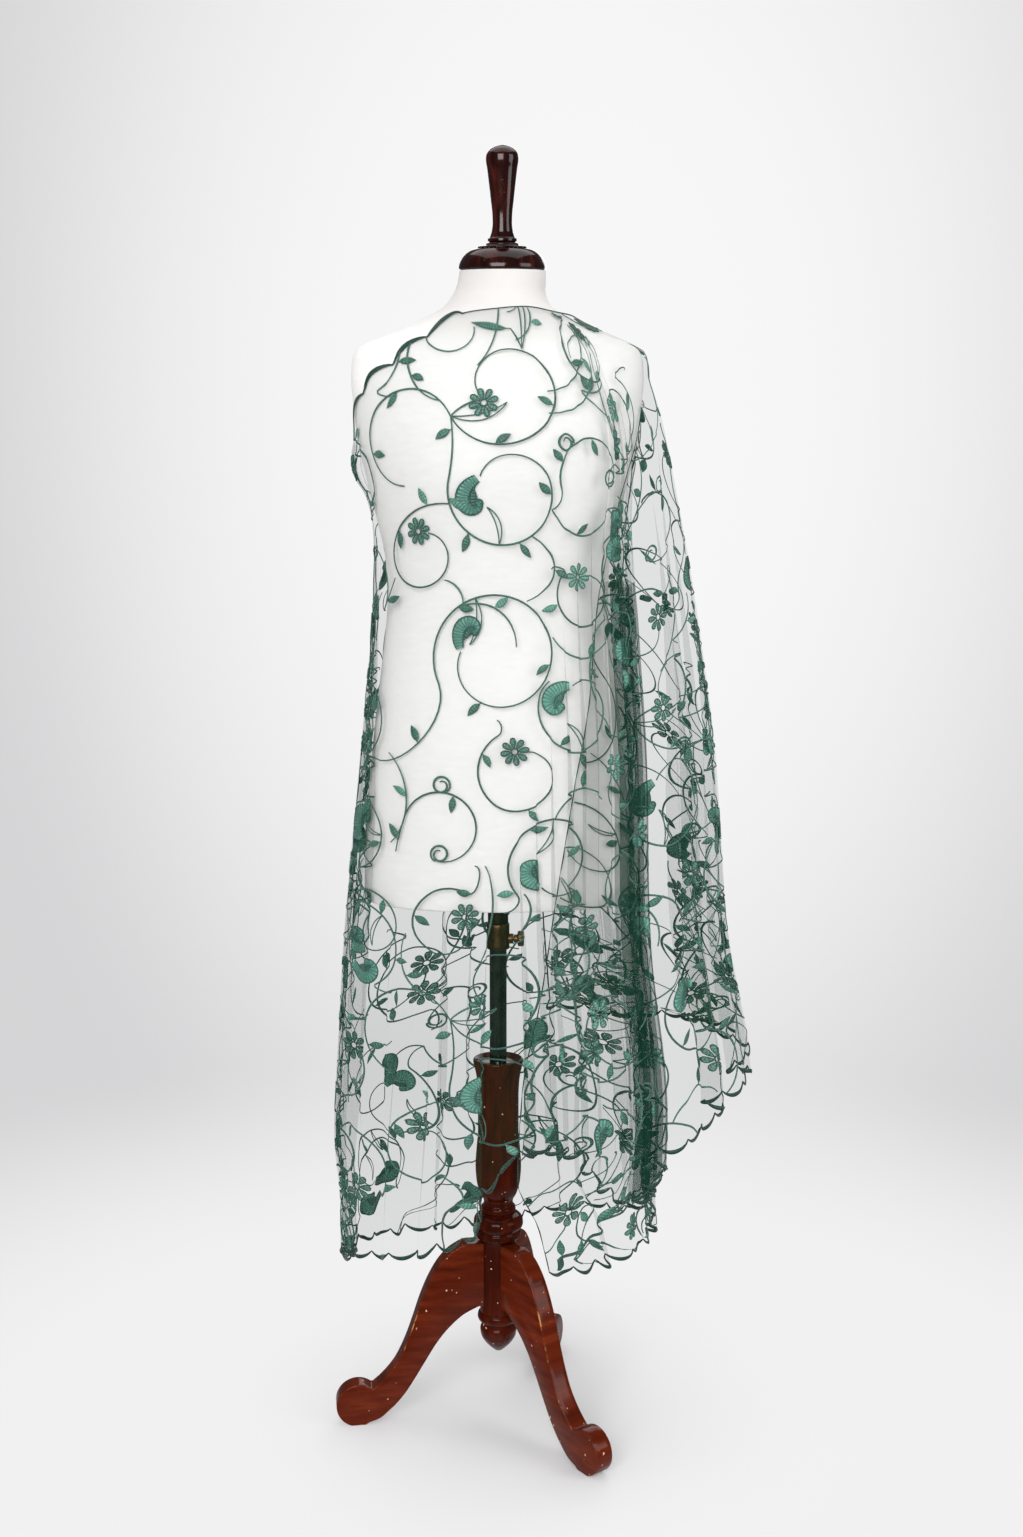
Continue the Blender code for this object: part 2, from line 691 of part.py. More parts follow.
def boundary_edges(triangles):
    """Directed edges that only one triangle has."""
    edges = set()
    for a, b, c in triangles:
        edges |= {(a, b), (b, c), (c, a)}
    return [(a, b) for a, b in edges if (b, a) not in edges]


def cloth_wall(stretch):
    """A closed wall: the surface moved out and in by half the wall, joined round the edges."""
    angles, heights, triangles = stretch_grid(stretch)
    middle = cloth_point(stretch.turn, angles, heights)
    normal = cloth_normal(stretch.turn, angles, heights)
    outer = middle + normal * WALL / 2
    inner = middle - normal * WALL / 2
    count = len(angles)
    faces = list(triangles)
    faces += [(c + count, b + count, a + count) for a, b, c in triangles]
    faces += [(b, a, a + count, b + count) for a, b in boundary_edges(triangles)]
    return np.concatenate([outer, inner]), faces


def lofted(rings):
    """Faces through rings of points. A ring of one point closes an end."""
    points = []
    faces = []
    starts = []
    for ring in rings:
        starts.append(len(points))
        points += [tuple(point) for point in ring]
    for k in range(len(rings) - 1):
        a, b = starts[k], starts[k + 1]
        upper, lower = len(rings[k]), len(rings[k + 1])
        for i in range(max(upper, lower)):
            j = (i + 1) % max(upper, lower)
            if upper == 1:
                faces.append((a, b + i, b + j))
            elif lower == 1:
                faces.append((a + i, b, a + j))
            else:
                faces.append((a + i, b + i, b + j, a + j))
    return np.array(points), faces


def circle(radius, height, segments):
    angles = np.linspace(0, 2 * np.pi, segments, endpoint=False)
    return np.stack([radius * np.cos(angles), radius * np.sin(angles), np.full(segments, height)], axis=1)


def turned(outline, segments, bore=None):
    """A turned solid, its outline from the top down. A bore is a Turn: the radius and where it ends."""
    rings = [circle(turn.radius, turn.height, segments) for turn in outline]
    if bore is None:
        rings.insert(0, [(0, 0, outline[0].height)])
        rings.append([(0, 0, outline[-1].height)])
        return lofted(rings)
    rings.insert(0, circle(bore.radius, bore.height, segments))
    rings.insert(0, [(0, 0, bore.height)])
    rings.append([(0, 0, outline[-1].height)])
    return lofted(rings)


def tube(inner, outer, low, high, segments):
    rings = [circle(inner, high, segments), circle(outer, high, segments)]
    rings += [circle(outer, low, segments), circle(inner, low, segments)]
    points, faces = lofted(rings + [rings[0]])
    count = 4 * segments
    return points[:count], [tuple(i % count for i in face) for face in faces]


def tilted(points):
    """Leans the neck's top and what stands on it forward, about the neck's middle."""
    pivot = np.array([0, 0, NECK_TOP])
    lean = math.radians(NECK_TILT)
    local = points - pivot
    y = local[:, 1] * math.cos(lean) - local[:, 2] * math.sin(lean)
    z = local[:, 1] * math.sin(lean) + local[:, 2] * math.cos(lean)
    return np.stack([local[:, 0] + NECK_SIDE_SHIFT, y, z], axis=1) + pivot


def form_body():
    angles = np.linspace(0, 360, FORM_SEGMENTS, endpoint=False)

    def ring(height, inset=0.0, tilt_share=0.0):
        radius = body_radius(angles, height) - inset
        x = radius * np.cos(np.radians(angles)) + NECK_SIDE_SHIFT * tilt_share
        y = radius * np.sin(np.radians(angles))
        z = height + tilt_share * math.tan(math.radians(NECK_TILT)) * y
        return np.stack([x, y, z], axis=1)

    neck = ring(NECK_TOP, tilt_share=1.0)
    rings = [[(NECK_SIDE_SHIFT, 0, NECK_TOP)], neck]
    for height in FORM_ROWS:
        rings.append(ring(height, tilt_share=float(ramp(TILT_STARTS, NECK_TOP, height))))
    rings.append(ring(FORM_BOTTOM + FORM_EDGE_ROUND))
    rings.append(ring(FORM_BOTTOM, inset=FORM_EDGE_ROUND))
    rings.append(circle(BORE_RADIUS, FORM_BOTTOM, FORM_SEGMENTS))
    rings.append(circle(BORE_RADIUS, BORE_TOP, FORM_SEGMENTS))
    rings.append([(0, 0, BORE_TOP)])
    return lofted(rings)


def leg_outline():
    """The plank's outline, closed: top edge out to the foot, round the scroll, and back underneath."""
    def along(edge):
        ends = np.arange(len(edge))
        at = np.linspace(0, len(edge) - 1, LEG_EDGE_STEPS)
        reach = smooth_curve(ends, column_of(edge, "reach"), at)
        return np.stack([reach, smooth_curve(ends, column_of(edge, "height"), at)], axis=1)

    turn = np.radians(np.linspace(FOOT_ARC[0], FOOT_ARC[1], FOOT_ARC_STEPS))
    foot = np.stack(
        [FOOT_REACH + FOOT_RADIUS * np.cos(turn), FOOT_CENTRE_HEIGHT + FOOT_RADIUS * np.sin(turn)], axis=1
    )
    foot[:, 1] = np.maximum(foot[:, 1], 0)
    heel = np.array([[FOOT_REACH - HEEL_SETBACK, 0.0]])
    return np.concatenate([along(LEG_TOP_EDGE), foot, heel, along(LEG_UNDER_EDGE)])


def leg():
    """The outline swept across the plank's thickness. Its inner end is hollowed to the column's shaft."""
    outline = leg_outline()
    inner_end = outline[:, 0] <= LEG_TOP_EDGE[0].reach
    rings = []
    for across in np.linspace(-LEG_THICKNESS / 2, LEG_THICKNESS / 2, LEG_LAYERS + 1):
        reach = np.where(inner_end, math.sqrt(LEG_SEAT_RADIUS**2 - across**2), outline[:, 0])
        rings.append(np.stack([reach, np.full(len(reach), across), outline[:, 1]], axis=1))
    points, faces = lofted(rings)
    width = len(outline)
    faces.append(tuple(range(width)))
    faces.append(tuple(reversed(range(LEG_LAYERS * width, (LEG_LAYERS + 1) * width))))
    return points, faces


def signed_volume(points, faces):
    total = 0.0
    for face in faces:
        for k in range(1, len(face) - 1):
            total += np.dot(points[face[0]], np.cross(points[face[k]], points[face[k + 1]]))
    return total


def add_object(name, shape, material, parent):
    """A mesh object whose faces point out, shaded smooth but at its sharp edges."""
    points, faces = shape
    points = np.asarray(points, float)
    if signed_volume(points, faces) < 0:
        faces = [tuple(reversed(face)) for face in faces]
    mesh = bpy.data.meshes.new(name)
    mesh.from_pydata([tuple(point) for point in points], [], faces)
    mesh.materials.append(material)
    mesh.shade_smooth()
    mesh.set_sharp_from_angle(angle=math.radians(35))
    obj = bpy.data.objects.new(name, mesh)
    obj.parent = parent
    bpy.context.scene.collection.objects.link(obj)
    return obj


def add_material(name, colour, roughness, metallic=0.0):
    material = bpy.data.materials.new(name)
    material.use_nodes = True
    shader = material.node_tree.nodes["Principled BSDF"]
    shader.inputs["Base Color"].default_value = (*colour, 1)
    shader.inputs["Roughness"].default_value = roughness
    shader.inputs["Metallic"].default_value = metallic
    return material


def boolean(obj, operation, other):
    modifier = obj.modifiers.new(operation.lower(), "BOOLEAN")
    modifier.operation = operation
    modifier.object = other
    other.hide_render = True
    other.display_type = "WIRE"


def along_x(points, height):
    """Turns a solid made about +Z so that its axis runs along +X at the given height."""
    return np.stack([points[:, 2], points[:, 1], height - points[:, 0]], axis=1)


def add_collar(material, parent):
    collar = add_object(
        "clamp_collar",
        tube(BORE_RADIUS, COLLAR_RADIUS, COLLAR_BOTTOM, SOCKET_BOTTOM - FIT_GAP, TURNED_SEGMENTS),
        material,
        parent,
    )
    boss_turn = (Turn(BOSS_RADIUS, BOSS_END), Turn(BOSS_RADIUS, COLLAR_RADIUS - BOSS_ROOT))
    hole_start = BORE_RADIUS - HOLE_OVERRUN
    hole_end = BOSS_END + HOLE_OVERRUN
    hole_turn = (Turn(SCREW_HOLE_RADIUS, hole_end), Turn(SCREW_HOLE_RADIUS, hole_start))
    for name, outline, operation in (("boss", boss_turn, "UNION"), ("screw_hole", hole_turn, "DIFFERENCE")):
        points, faces = turned(outline, TURNED_SEGMENTS)
        other = add_object(name, (along_x(points, SCREW_HEIGHT), faces), material, parent)
        boolean(collar, operation, other)


def add_legs(material, parent):
    for name, direction in LEG_ANGLES.items():
        obj = add_object(name, leg(), material, parent)
        obj.rotation_euler = (0, 0, math.radians(direction))


def centre_on_floor(frame):
    """Moves everything so that the bounding box's bottom centre is the origin."""
    bpy.context.view_layer.update()
    graph = bpy.context.evaluated_depsgraph_get()
    low = np.full(3, np.inf)
    high = np.full(3, -np.inf)
    for obj in frame.children:
        if obj.hide_render:
            continue
        for vertex in obj.evaluated_get(graph).data.vertices:
            point = np.array(obj.matrix_world @ vertex.co)
            low = np.minimum(low, point)
            high = np.maximum(high, point)
    frame.location = (-(low[0] + high[0]) / 2, -(low[1] + high[1]) / 2, -low[2])


def main():
    for obj in list(bpy.data.objects):
        bpy.data.objects.remove(obj, do_unlink=True)
    net = add_material("net", (0.16, 0.33, 0.26), 0.75)
    canvas = add_material("form canvas", (0.80, 0.79, 0.76), 0.85)
    dark_wood = add_material("dark varnished wood", (0.045, 0.012, 0.009), 0.25)
    red_wood = add_material("red varnished wood", (0.13, 0.022, 0.011), 0.30)
    steel = add_material("bright steel", (0.55, 0.55, 0.54), 0.22, 1.0)
    bronze = add_material("bronze", (0.25, 0.15, 0.06), 0.40, 1.0)
    dark_metal = add_material("dark metal", (0.06, 0.05, 0.04), 0.45, 0.8)
    frame = bpy.data.objects.new("stand_frame", None)
    bpy.context.scene.collection.objects.link(frame)

    for stretch in STRETCHES:
        add_object(stretch.name, cloth_wall(stretch), net, frame)
    add_object("form_body", form_body(), canvas, frame)
    for name, outline, segments in (
        ("neck_cap", NECK_CAP, TURNED_SEGMENTS),
        ("neck_handle", NECK_HANDLE, HANDLE_SEGMENTS),
    ):
        points, faces = turned(outline, segments)
        add_object(name, (tilted(points), faces), dark_wood, frame)
    socket = tube(BORE_RADIUS, SOCKET_RADIUS, SOCKET_BOTTOM, FORM_BOTTOM - FIT_GAP, TURNED_SEGMENTS)
    add_object("socket_tube", socket, dark_metal, frame)
    add_collar(bronze, frame)
    points, faces = turned(THUMB_SCREW, TURNED_SEGMENTS)
    add_object("thumb_screw", (along_x(points, SCREW_HEIGHT), faces), bronze, frame)
    pole = (Turn(POLE_RADIUS, POLE_TOP), Turn(POLE_RADIUS, POLE_FOOT))
    add_object("steel_pole", turned(pole, TURNED_SEGMENTS), steel, frame)
    column_bore = Turn(BORE_RADIUS, POLE_FOOT - FIT_GAP)
    add_object("column", turned(COLUMN, TURNED_SEGMENTS, bore=column_bore), red_wood, frame)
    add_object("drop_finial", turned(DROP_FINIAL, TURNED_SEGMENTS), red_wood, frame)
    add_legs(red_wood, frame)
    centre_on_floor(frame)


main()
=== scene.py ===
"""Looks of the net dupatta on its dress form and tripod stand.

Metres, +Z up, and the front faces -Y. Angles are degrees round the pole from +X, the viewer's right in
a front view. The dupatta is one length of net, so one angle runs along it from its first short end,
-76, through the seam of the two turns, 168, to its second short end, 430.
"""

import math
from collections import namedtuple

import bpy
import numpy as np
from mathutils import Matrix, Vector
from mathutils.geometry import tessellate_polygon


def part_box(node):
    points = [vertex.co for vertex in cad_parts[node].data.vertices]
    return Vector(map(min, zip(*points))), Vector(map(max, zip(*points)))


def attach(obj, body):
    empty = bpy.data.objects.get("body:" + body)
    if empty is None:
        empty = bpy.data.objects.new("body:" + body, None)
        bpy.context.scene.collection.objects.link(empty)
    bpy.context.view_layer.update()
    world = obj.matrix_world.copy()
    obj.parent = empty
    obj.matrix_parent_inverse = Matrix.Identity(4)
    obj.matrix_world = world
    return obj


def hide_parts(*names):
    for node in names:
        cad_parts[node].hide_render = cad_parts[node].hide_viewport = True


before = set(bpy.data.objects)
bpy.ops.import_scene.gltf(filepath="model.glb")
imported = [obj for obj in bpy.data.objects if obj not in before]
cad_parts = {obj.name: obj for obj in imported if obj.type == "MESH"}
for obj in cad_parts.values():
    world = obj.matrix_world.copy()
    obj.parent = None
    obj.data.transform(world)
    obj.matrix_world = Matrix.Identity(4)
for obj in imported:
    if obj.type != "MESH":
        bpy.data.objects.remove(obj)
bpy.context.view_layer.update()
pole_low, pole_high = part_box("steel_pole")
AXIS = np.array([(pole_low.x + pole_high.x) / 2, (pole_low.y + pole_high.y) / 2, 0.0])

# ---- The form's surface ----

NECK_TOP = 1.411
NECK_TILT = 8.0
TILT_STARTS = 1.362
NECK_SIDE_SHIFT = 0.006
FORM_BOTTOM = 0.665
BUST_HEIGHT = 1.190
BUST_ANGLES = (245.0, 295.0)
BUST_RISE = 0.014
BUST_SPREAD_ANGLE = 18.0
BUST_SPREAD_HEIGHT = 0.065
# height, half width, front, back, power
BODY_SECTIONS = np.array((
    (1.411, 0.0505, 0.052, 0.052, 2), (1.389, 0.053, 0.055, 0.055, 2),
    (1.372, 0.061, 0.061, 0.062, 2), (1.36, 0.076, 0.067, 0.069, 2),
    (1.349, 0.1, 0.072, 0.075, 2), (1.337, 0.127, 0.076, 0.081, 2),
    (1.326, 0.155, 0.079, 0.085, 2), (1.318, 0.167, 0.082, 0.087, 2),
    (1.306, 0.172, 0.087, 0.091, 2), (1.285, 0.173, 0.093, 0.096, 2.1),
    (1.262, 0.171, 0.1, 0.1, 2.2), (1.215, 0.166, 0.109, 0.103, 2.3),
    (1.168, 0.155, 0.113, 0.101, 2.3), (1.121, 0.1435, 0.109, 0.095, 2.3),
    (1.074, 0.134, 0.103, 0.089, 2.2), (1.026, 0.132, 0.1, 0.089, 2.2),
    (0.966, 0.1375, 0.103, 0.098, 2.2), (0.906, 0.145, 0.1075, 0.109, 2.2),
    (0.845, 0.152, 0.11, 0.117, 2.2), (0.784, 0.158, 0.11, 0.12, 2.2),
    (0.722, 0.1625, 0.108, 0.119, 2.2), (0.665, 0.163, 0.105, 0.116, 2.2),
))

# ---- The cloth's surface ----

CLOTH_OFF_BODY = 0.0026
CLOTH_OFF_SHOULDER = 0.0034
LAYER_GAP = 0.0034
SHOULDER_REST = (1.300, 1.330)
SCALLOP_WIDTH = 0.037
SCALLOP_DEPTH = 0.0095
SCALLOP_FULLNESS = 0.75
NECKLINE_SCALLOP_WIDTH = 0.049
NECKLINE_SCALLOP_DEPTH = 0.009
NECKLINE_SCALLOPS = (188.0, 240.0)
NECKLINE_BULGE = 3.5
NECKLINE_BULGE_ROWS = 0.06
SEAM = 168.0
CLOTH_END = 430.0
# height, left, right, front, back
HANG_SECTIONS = np.array((
    (1.34, 0.09, 0.09, 0.06, 0.06), (1.262, 0.165, 0.165, 0.096, 0.096),
    (1.215, 0.168, 0.166, 0.106, 0.102), (1.186, 0.1695, 0.163, 0.11, 0.103),
    (1.168, 0.165, 0.16, 0.111, 0.103), (1.145, 0.151, 0.156, 0.111, 0.102),
    (1.074, 0.148, 0.15, 0.108, 0.101), (1.026, 0.15, 0.149, 0.106, 0.102),
    (0.966, 0.154, 0.151, 0.107, 0.106), (0.906, 0.16, 0.156, 0.109, 0.113),
    (0.833, 0.1675, 0.162, 0.112, 0.121), (0.722, 0.179, 0.17, 0.113, 0.126),
    (0.61, 0.19, 0.177, 0.119, 0.132), (0.484, 0.198, 0.186, 0.133, 0.142),
    (0.369, 0.204, 0.193, 0.147, 0.15), (0.278, 0.197, 0.198, 0.157, 0.156),
    (0.17, 0.199, 0.202, 0.163, 0.162),
))
HANG_POWER = 2.15
LIFT_OFF_BLEND = 0.002
# height, reach of the cape on the right side
CAPE_REACH = np.array((
    (1.36, 0.05), (1.33, 0.12), (1.305, 0.17), (1.274, 0.183), (1.239, 0.194), (1.204, 0.202),
    (1.145, 0.214), (1.074, 0.228), (0.966, 0.246), (0.845, 0.263), (0.722, 0.2735), (0.598, 0.284),
    (0.46, 0.297), (0.34, 0.303),
))
# angle, share of that reach
CAPE_SHARE = np.array((
    (276, 0), (296, 0.05), (308, 0.2), (320, 0.42), (332, 0.64), (344, 0.84), (356, 1), (376, 1),
    (392, 0.88), (410, 0.62), (430, 0.34),
))
CAPE_NARROW_TOP = 2.0
CAPE_TOP = 1.26
CAPE_FOOT = 0.40
OVERLAP_STARTS = (262.0, 274.0)
LOOSE_OVER = 0.018
LOOSE_HEIGHTS = (0.660, 0.420)
LOOSE_ANGLES = (276.0, 290.0)
SETTLE_BLEND = 0.001
# angle, height of each edge
FIRST_TOP = np.array((
    (-76, 1.25), (-40, 1.272), (0, 1.283), (45, 1.292), (80, 1.285), (120, 1.262), (150, 1.232), (168, 1.216),
))
FIRST_HEM = np.array((
    (-76, 0.25), (-49, 0.252), (-6, 0.26), (45, 0.228), (90, 0.198), (120, 0.192), (150, 0.202), (168, 0.214),
))
SECOND_TOP = np.array((
    (168, 1.216), (180, 1.216), (190, 1.231), (200, 1.268), (212, 1.299), (222, 1.325), (237, 1.351),
    (271, 1.357), (300, 1.36), (330, 1.3565), (370, 1.3565), (400, 1.352), (430, 1.338),
))
SECOND_HEM = np.array((
    (168, 0.214), (180, 0.221), (200, 0.244), (236, 0.27), (255, 0.291), (264, 0.309), (272, 0.352),
    (278, 0.394), (290, 0.404), (303, 0.4), (313, 0.366), (322, 0.352), (331, 0.384), (345, 0.442),
    (360, 0.476), (380, 0.484), (405, 0.47), (430, 0.492),
))
# angle of a ridge, depth of the valley after it, where it starts, where it is full, and how far the valley
# laps over along the cloth, in widths of the fold
FIRST_FOLDS = np.array((
    (-76, 0.011, 0.7, 0.3, 0.2), (-62, 0.01, 0.8, 0.4, 0.5), (-50, 0.014, 0.76, 0.34, -0.4),
    (-38, 0.01, 0.9, 0.4, 0.9), (-26, 0.01, 0.9, 0.4, 0.5), (-12, 0.012, 0.84, 0.38, -0.9),
    (4, 0.014, 0.8, 0.34, 0.8), (24, 0.01, 0.8, 0.32, -0.7), (45, 0.016, 0.8, 0.3, 0.5),
    (62, 0.01, 0.74, 0.28, 0.5), (76, 0.016, 0.8, 0.28, -0.5), (92, 0.014, 0.86, 0.3, 0.6),
    (106, 0.012, 0.8, 0.28, 0.5), (120, 0.016, 0.9, 0.3, -0.6), (134, 0.014, 0.96, 0.34, 0.6),
    (146, 0.01, 1.04, 0.4, 0.9), (157, 0.008, 1.2, 0.8, 1.2), (168, 0, 0.7, 0.28, 0),
))
SECOND_FOLDS = np.array((
    (168, 0.005, 1.22, 0.98, 1.6), (173.5, 0.006, 1.22, 0.92, 1.7), (179, 0.009, 1.21, 0.84, 1.5),
    (186, 0.012, 1.16, 0.6, 1), (196, 0.01, 0.9, 0.34, -0.4), (207, 0.008, 0.76, 0.32, 0.3),
    (223, 0.011, 0.74, 0.32, 0.3), (238, 0.009, 0.7, 0.32, -0.3), (250, 0.008, 0.7, 0.32, 0.4),
    (264, 0.014, 0.76, 0.38, -0.7), (275, 0.01, 0.8, 0.42, 1.1), (285, 0.009, 0.9, 0.46, 1),
    (293.5, 0.008, 1, 0.5, 1), (301, 0.008, 1.16, 0.52, 1), (308, 0.008, 1.28, 0.7, 0.9),
    (313.5, 0.008, 1.34, 0.8, 0.8), (318.5, 0.008, 1.36, 0.9, 1), (322.5, 0.009, 1.34, 0.9, 2.9),
    (325, 0.01, 1.34, 0.88, 2.6), (327.5, 0.011, 1.34, 0.86, 2.1), (330, 0.011, 1.34, 0.84, 1.5),
    (332.5, 0.012, 1.34, 0.7, -1.3), (337, 0.012, 1.34, 0.6, 0.9), (341, 0.012, 1.34, 0.55, 1.1),
    (345.5, 0.014, 1.32, 0.55, -1), (350, 0.012, 1.28, 0.55, 1.1), (355, 0.018, 1.26, 0.6, -0.9),
    (363, 0.024, 1.26, 0.55, 0.8), (373, 0.02, 1.26, 0.55, 1.1), (381, 0.024, 1.26, 0.52, -1),
    (391, 0.02, 1.25, 0.5, 1), (401, 0.016, 1.24, 0.5, 1.2), (409, 0.018, 1.23, 0.5, -1),
    (419, 0.014, 1.22, 0.5, 0.7), (430, 0, 1.2, 0.48, 0),
))
FOLD_GROWTH = 1.25
LAP_GROWTH = 1.5
TIGHT_LAP = 1.45
HEM_LAP = 0.40
HEM_OPENS = (0.22, 0.42)
PLY_LIFT = 0.0025
PLIES_FROM_LAP = 0.8
DEEPEST_GROWTH = 1.15
GATHER_FIRST = 170.5
GATHER_PITCH = 5.0
GATHER_COUNT = 6
GATHER_RISE = 0.0045
GATHER_HEIGHTS = (1.100, 1.160, 1.200, 1.222)
# angle, how far the folds of the second turn lean round the pole by the hem, in degrees
SECOND_LEAN = np.array((
    (168, 0), (240, 0), (290, -4.5), (318, -11), (328, -14.5), (338, -14), (350, -10), (366, -2),
    (400, 4), (430, 0),
))
LEAN_TOP = 1.25
LEAN_FOOT = 0.40
LEAN_MOST = 1.1
# height, shift of the first short edge in degrees
FIRST_EDGE_SHIFT = np.array((
    (1.25, 66), (1.12, 54), (1.027, 45), (0.912, 38), (0.82, 29), (0.727, 22), (0.665, 17),
    (0.57, 9), (0.46, -2), (0.356, -5), (0.306, 3), (0.243, 8),
))
EDGE_SHIFT_FADES = (-76.0, 44.0)

# each stretch's first and last angle
Stretch = namedtuple("Stretch", "name first last")
STRETCHES = (
    Stretch("inner_end", -76.0, 45.0),
    Stretch("back_wrap", 45.0, 168.0),
    Stretch("front_wrap", 168.0, 322.5),
    Stretch("shoulder_fall", 322.5, 430.0),
)
# angles and height of the narrow stretch that is gathered so closely that it shows darker: its net is denser, and
# its darker colour is painted shade of the folds and plies that the mesh leaves out
GATHERED = (322.5, 332.5)
GATHERED_BELOW = 1.04
CLOTH_ROWS = 96
ROWS_DENSER_AT_TOP = 0.18
COLUMNS_PER_SCALLOP = 11


def smooth_curve(xs, ys, at):
    """A monotone cubic through the points."""
    order = np.argsort(xs)
    xs, ys = np.asarray(xs, float)[order], np.asarray(ys, float)[order]
    at = np.clip(at, xs[0], xs[-1])
    steps = np.diff(xs)
    slopes = np.diff(ys) / steps
    same_sign = slopes[:-1] * slopes[1:] > 0
    sums = np.where(same_sign, slopes[:-1] + slopes[1:], 1.0)
    inner = np.where(same_sign, 2 * slopes[:-1] * slopes[1:] / sums, 0.0)
    tangents = np.concatenate([slopes[:1], inner, slopes[-1:]])
    k = np.clip(np.searchsorted(xs, at) - 1, 0, len(steps) - 1)
    f = (at - xs[k]) / steps[k]
    value = (2 * f**3 - 3 * f**2 + 1) * ys[k] + (3 * f**2 - 2 * f**3) * ys[k + 1]
    return value + steps[k] * ((f**3 - 2 * f**2 + f) * tangents[k] + (f**3 - f**2) * tangents[k + 1])


def read(table, column, at):
    return smooth_curve(table[:, 0], table[:, column], at)


def ramp(low, high, at):
    f = np.clip((np.asarray(at, float) - low) / (high - low), 0, 1)
    return f * f * (3 - 2 * f)


def soft_max(a, b, width):
    return (a + b + np.sqrt((a - b) ** 2 + width**2)) / 2


def polar(degrees, radius=1.0):
    """Points on a circle, with x and y on the last axis."""
    turn = np.radians(degrees)
    return np.stack([radius * np.cos(turn), radius * np.sin(turn)], axis=-1)


def sideways(along):
    """Each direction turned a quarter to its left."""
    along = np.asarray(along, float)
    return np.stack([-along[..., 1], along[..., 0]], axis=-1)


def around(count):
    return np.linspace(0, 360, count, endpoint=False)


def ellipse_radius(angle, half_width, depth, power):
    across = np.abs(np.cos(np.radians(angle))) / half_width
    along = np.abs(np.sin(np.radians(angle))) / depth
    return (across**power + along**power) ** (-1 / power)


def body_radius(angle, height):
    behind = np.sin(np.radians(angle)) > 0
    depth = np.where(behind, read(BODY_SECTIONS, 3, height), read(BODY_SECTIONS, 2, height))
    radius = ellipse_radius(angle, read(BODY_SECTIONS, 1, height), depth, read(BODY_SECTIONS, 4, height))
    for apex in BUST_ANGLES:
        round_apex = ((np.asarray(angle, float) - apex + 180) % 360 - 180) / BUST_SPREAD_ANGLE
        above_apex = (height - BUST_HEIGHT) / BUST_SPREAD_HEIGHT
        radius = radius + BUST_RISE * np.exp(-(round_apex**2 + above_apex**2) / 2)
    return radius


def base_radius(angle, height):
    """The cloth's smooth surface in the first turn, before folds."""
    right, back = np.cos(np.radians(angle)) > 0, np.sin(np.radians(angle)) > 0
    side = np.where(right, read(HANG_SECTIONS, 2, height), read(HANG_SECTIONS, 1, height))
    depth = np.where(back, read(HANG_SECTIONS, 4, height), read(HANG_SECTIONS, 3, height))
    off = CLOTH_OFF_BODY + (CLOTH_OFF_SHOULDER - CLOTH_OFF_BODY) * ramp(*SHOULDER_REST, height)
    hanging = ellipse_radius(angle, side, depth, HANG_POWER)
    return soft_max(hanging, body_radius(angle, height) + off, LIFT_OFF_BLEND)


def folding(folds, angle, height):
    """How far the cloth lies inside its ridges, how many degrees it laps along the cloth, and how far its
    first ply is lifted where a fold lies over itself."""
    k = np.clip(np.searchsorted(folds[:, 0], angle, side="right") - 1, 0, len(folds) - 2)
    ridge, depth, start, full, laps = np.moveaxis(folds[k], -1, 0)
    width = folds[k + 1, 0] - ridge
    phase = np.clip((angle - ridge) / width, 0, 1)
    wave = np.sin(np.pi * phase) ** 2
    growth = np.clip((start - height) / (start - full), 0, DEEPEST_GROWTH)
    opened = HEM_LAP + (1 - HEM_LAP) * np.where(np.abs(laps) > TIGHT_LAP, 1.0, ramp(*HEM_OPENS, height))
    lap = laps * opened * width * np.clip(LAP_GROWTH * growth, 0, 1) * wave
    lifted = np.minimum(growth, 1) * np.clip(np.abs(laps) - PLIES_FROM_LAP, 0, 1)
    return depth * growth**FOLD_GROWTH * wave, lap, PLY_LIFT * lifted * np.sin(2 * np.pi * phase)


def gather_rise(angle, height):
    phase = (angle - GATHER_FIRST) / GATHER_PITCH
    inside = (phase > 0) & (phase < GATHER_COUNT)
    low, full, still, high = GATHER_HEIGHTS
    window = ramp(low, full, height) * ramp(high, still, height)
    return GATHER_RISE * inside * window * np.sin(np.pi * phase) ** 2


def first_turn(angle, height):
    depth, lap, _ = folding(FIRST_FOLDS, angle, height)
    fade = ramp(EDGE_SHIFT_FADES[1], EDGE_SHIFT_FADES[0], angle)
    true_angle = angle + lap + fade * read(FIRST_EDGE_SHIFT, 1, height)
    return base_radius(true_angle, height) - depth, true_angle


def second_turn(angle, height):
    depth, lap, ply = folding(SECOND_FOLDS, angle, height)
    laid = np.minimum(angle + lap, CLOTH_END)
    leaning = np.clip((LEAN_TOP - height) / (LEAN_TOP - LEAN_FOOT), 0, LEAN_MOST) ** 2
    true_angle = laid + leaning * read(SECOND_LEAN, 1, laid)
    over = ramp(*OVERLAP_STARTS, true_angle)
    gap = LAYER_GAP * over * ramp(SHOULDER_REST[1], SHOULDER_REST[0], height)
    spread = np.maximum(read(CAPE_REACH, 1, height) - base_radius(0.0, height) - LAYER_GAP, 0)
    narrow = 1 + (CAPE_NARROW_TOP - 1) * ramp(CAPE_FOOT, CAPE_TOP, height)
    cape = spread * read(CAPE_SHARE, 1, laid) ** narrow
    loose = LOOSE_OVER * ramp(*LOOSE_HEIGHTS, height) * ramp(*LOOSE_ANGLES, true_angle)
    lift = cape + loose - depth + gather_rise(angle, height) + ply
    radius = base_radius(true_angle, height) + gap + (1 - over) * lift
    return radius + over * soft_max(lift, 0.0, SETTLE_BLEND), true_angle


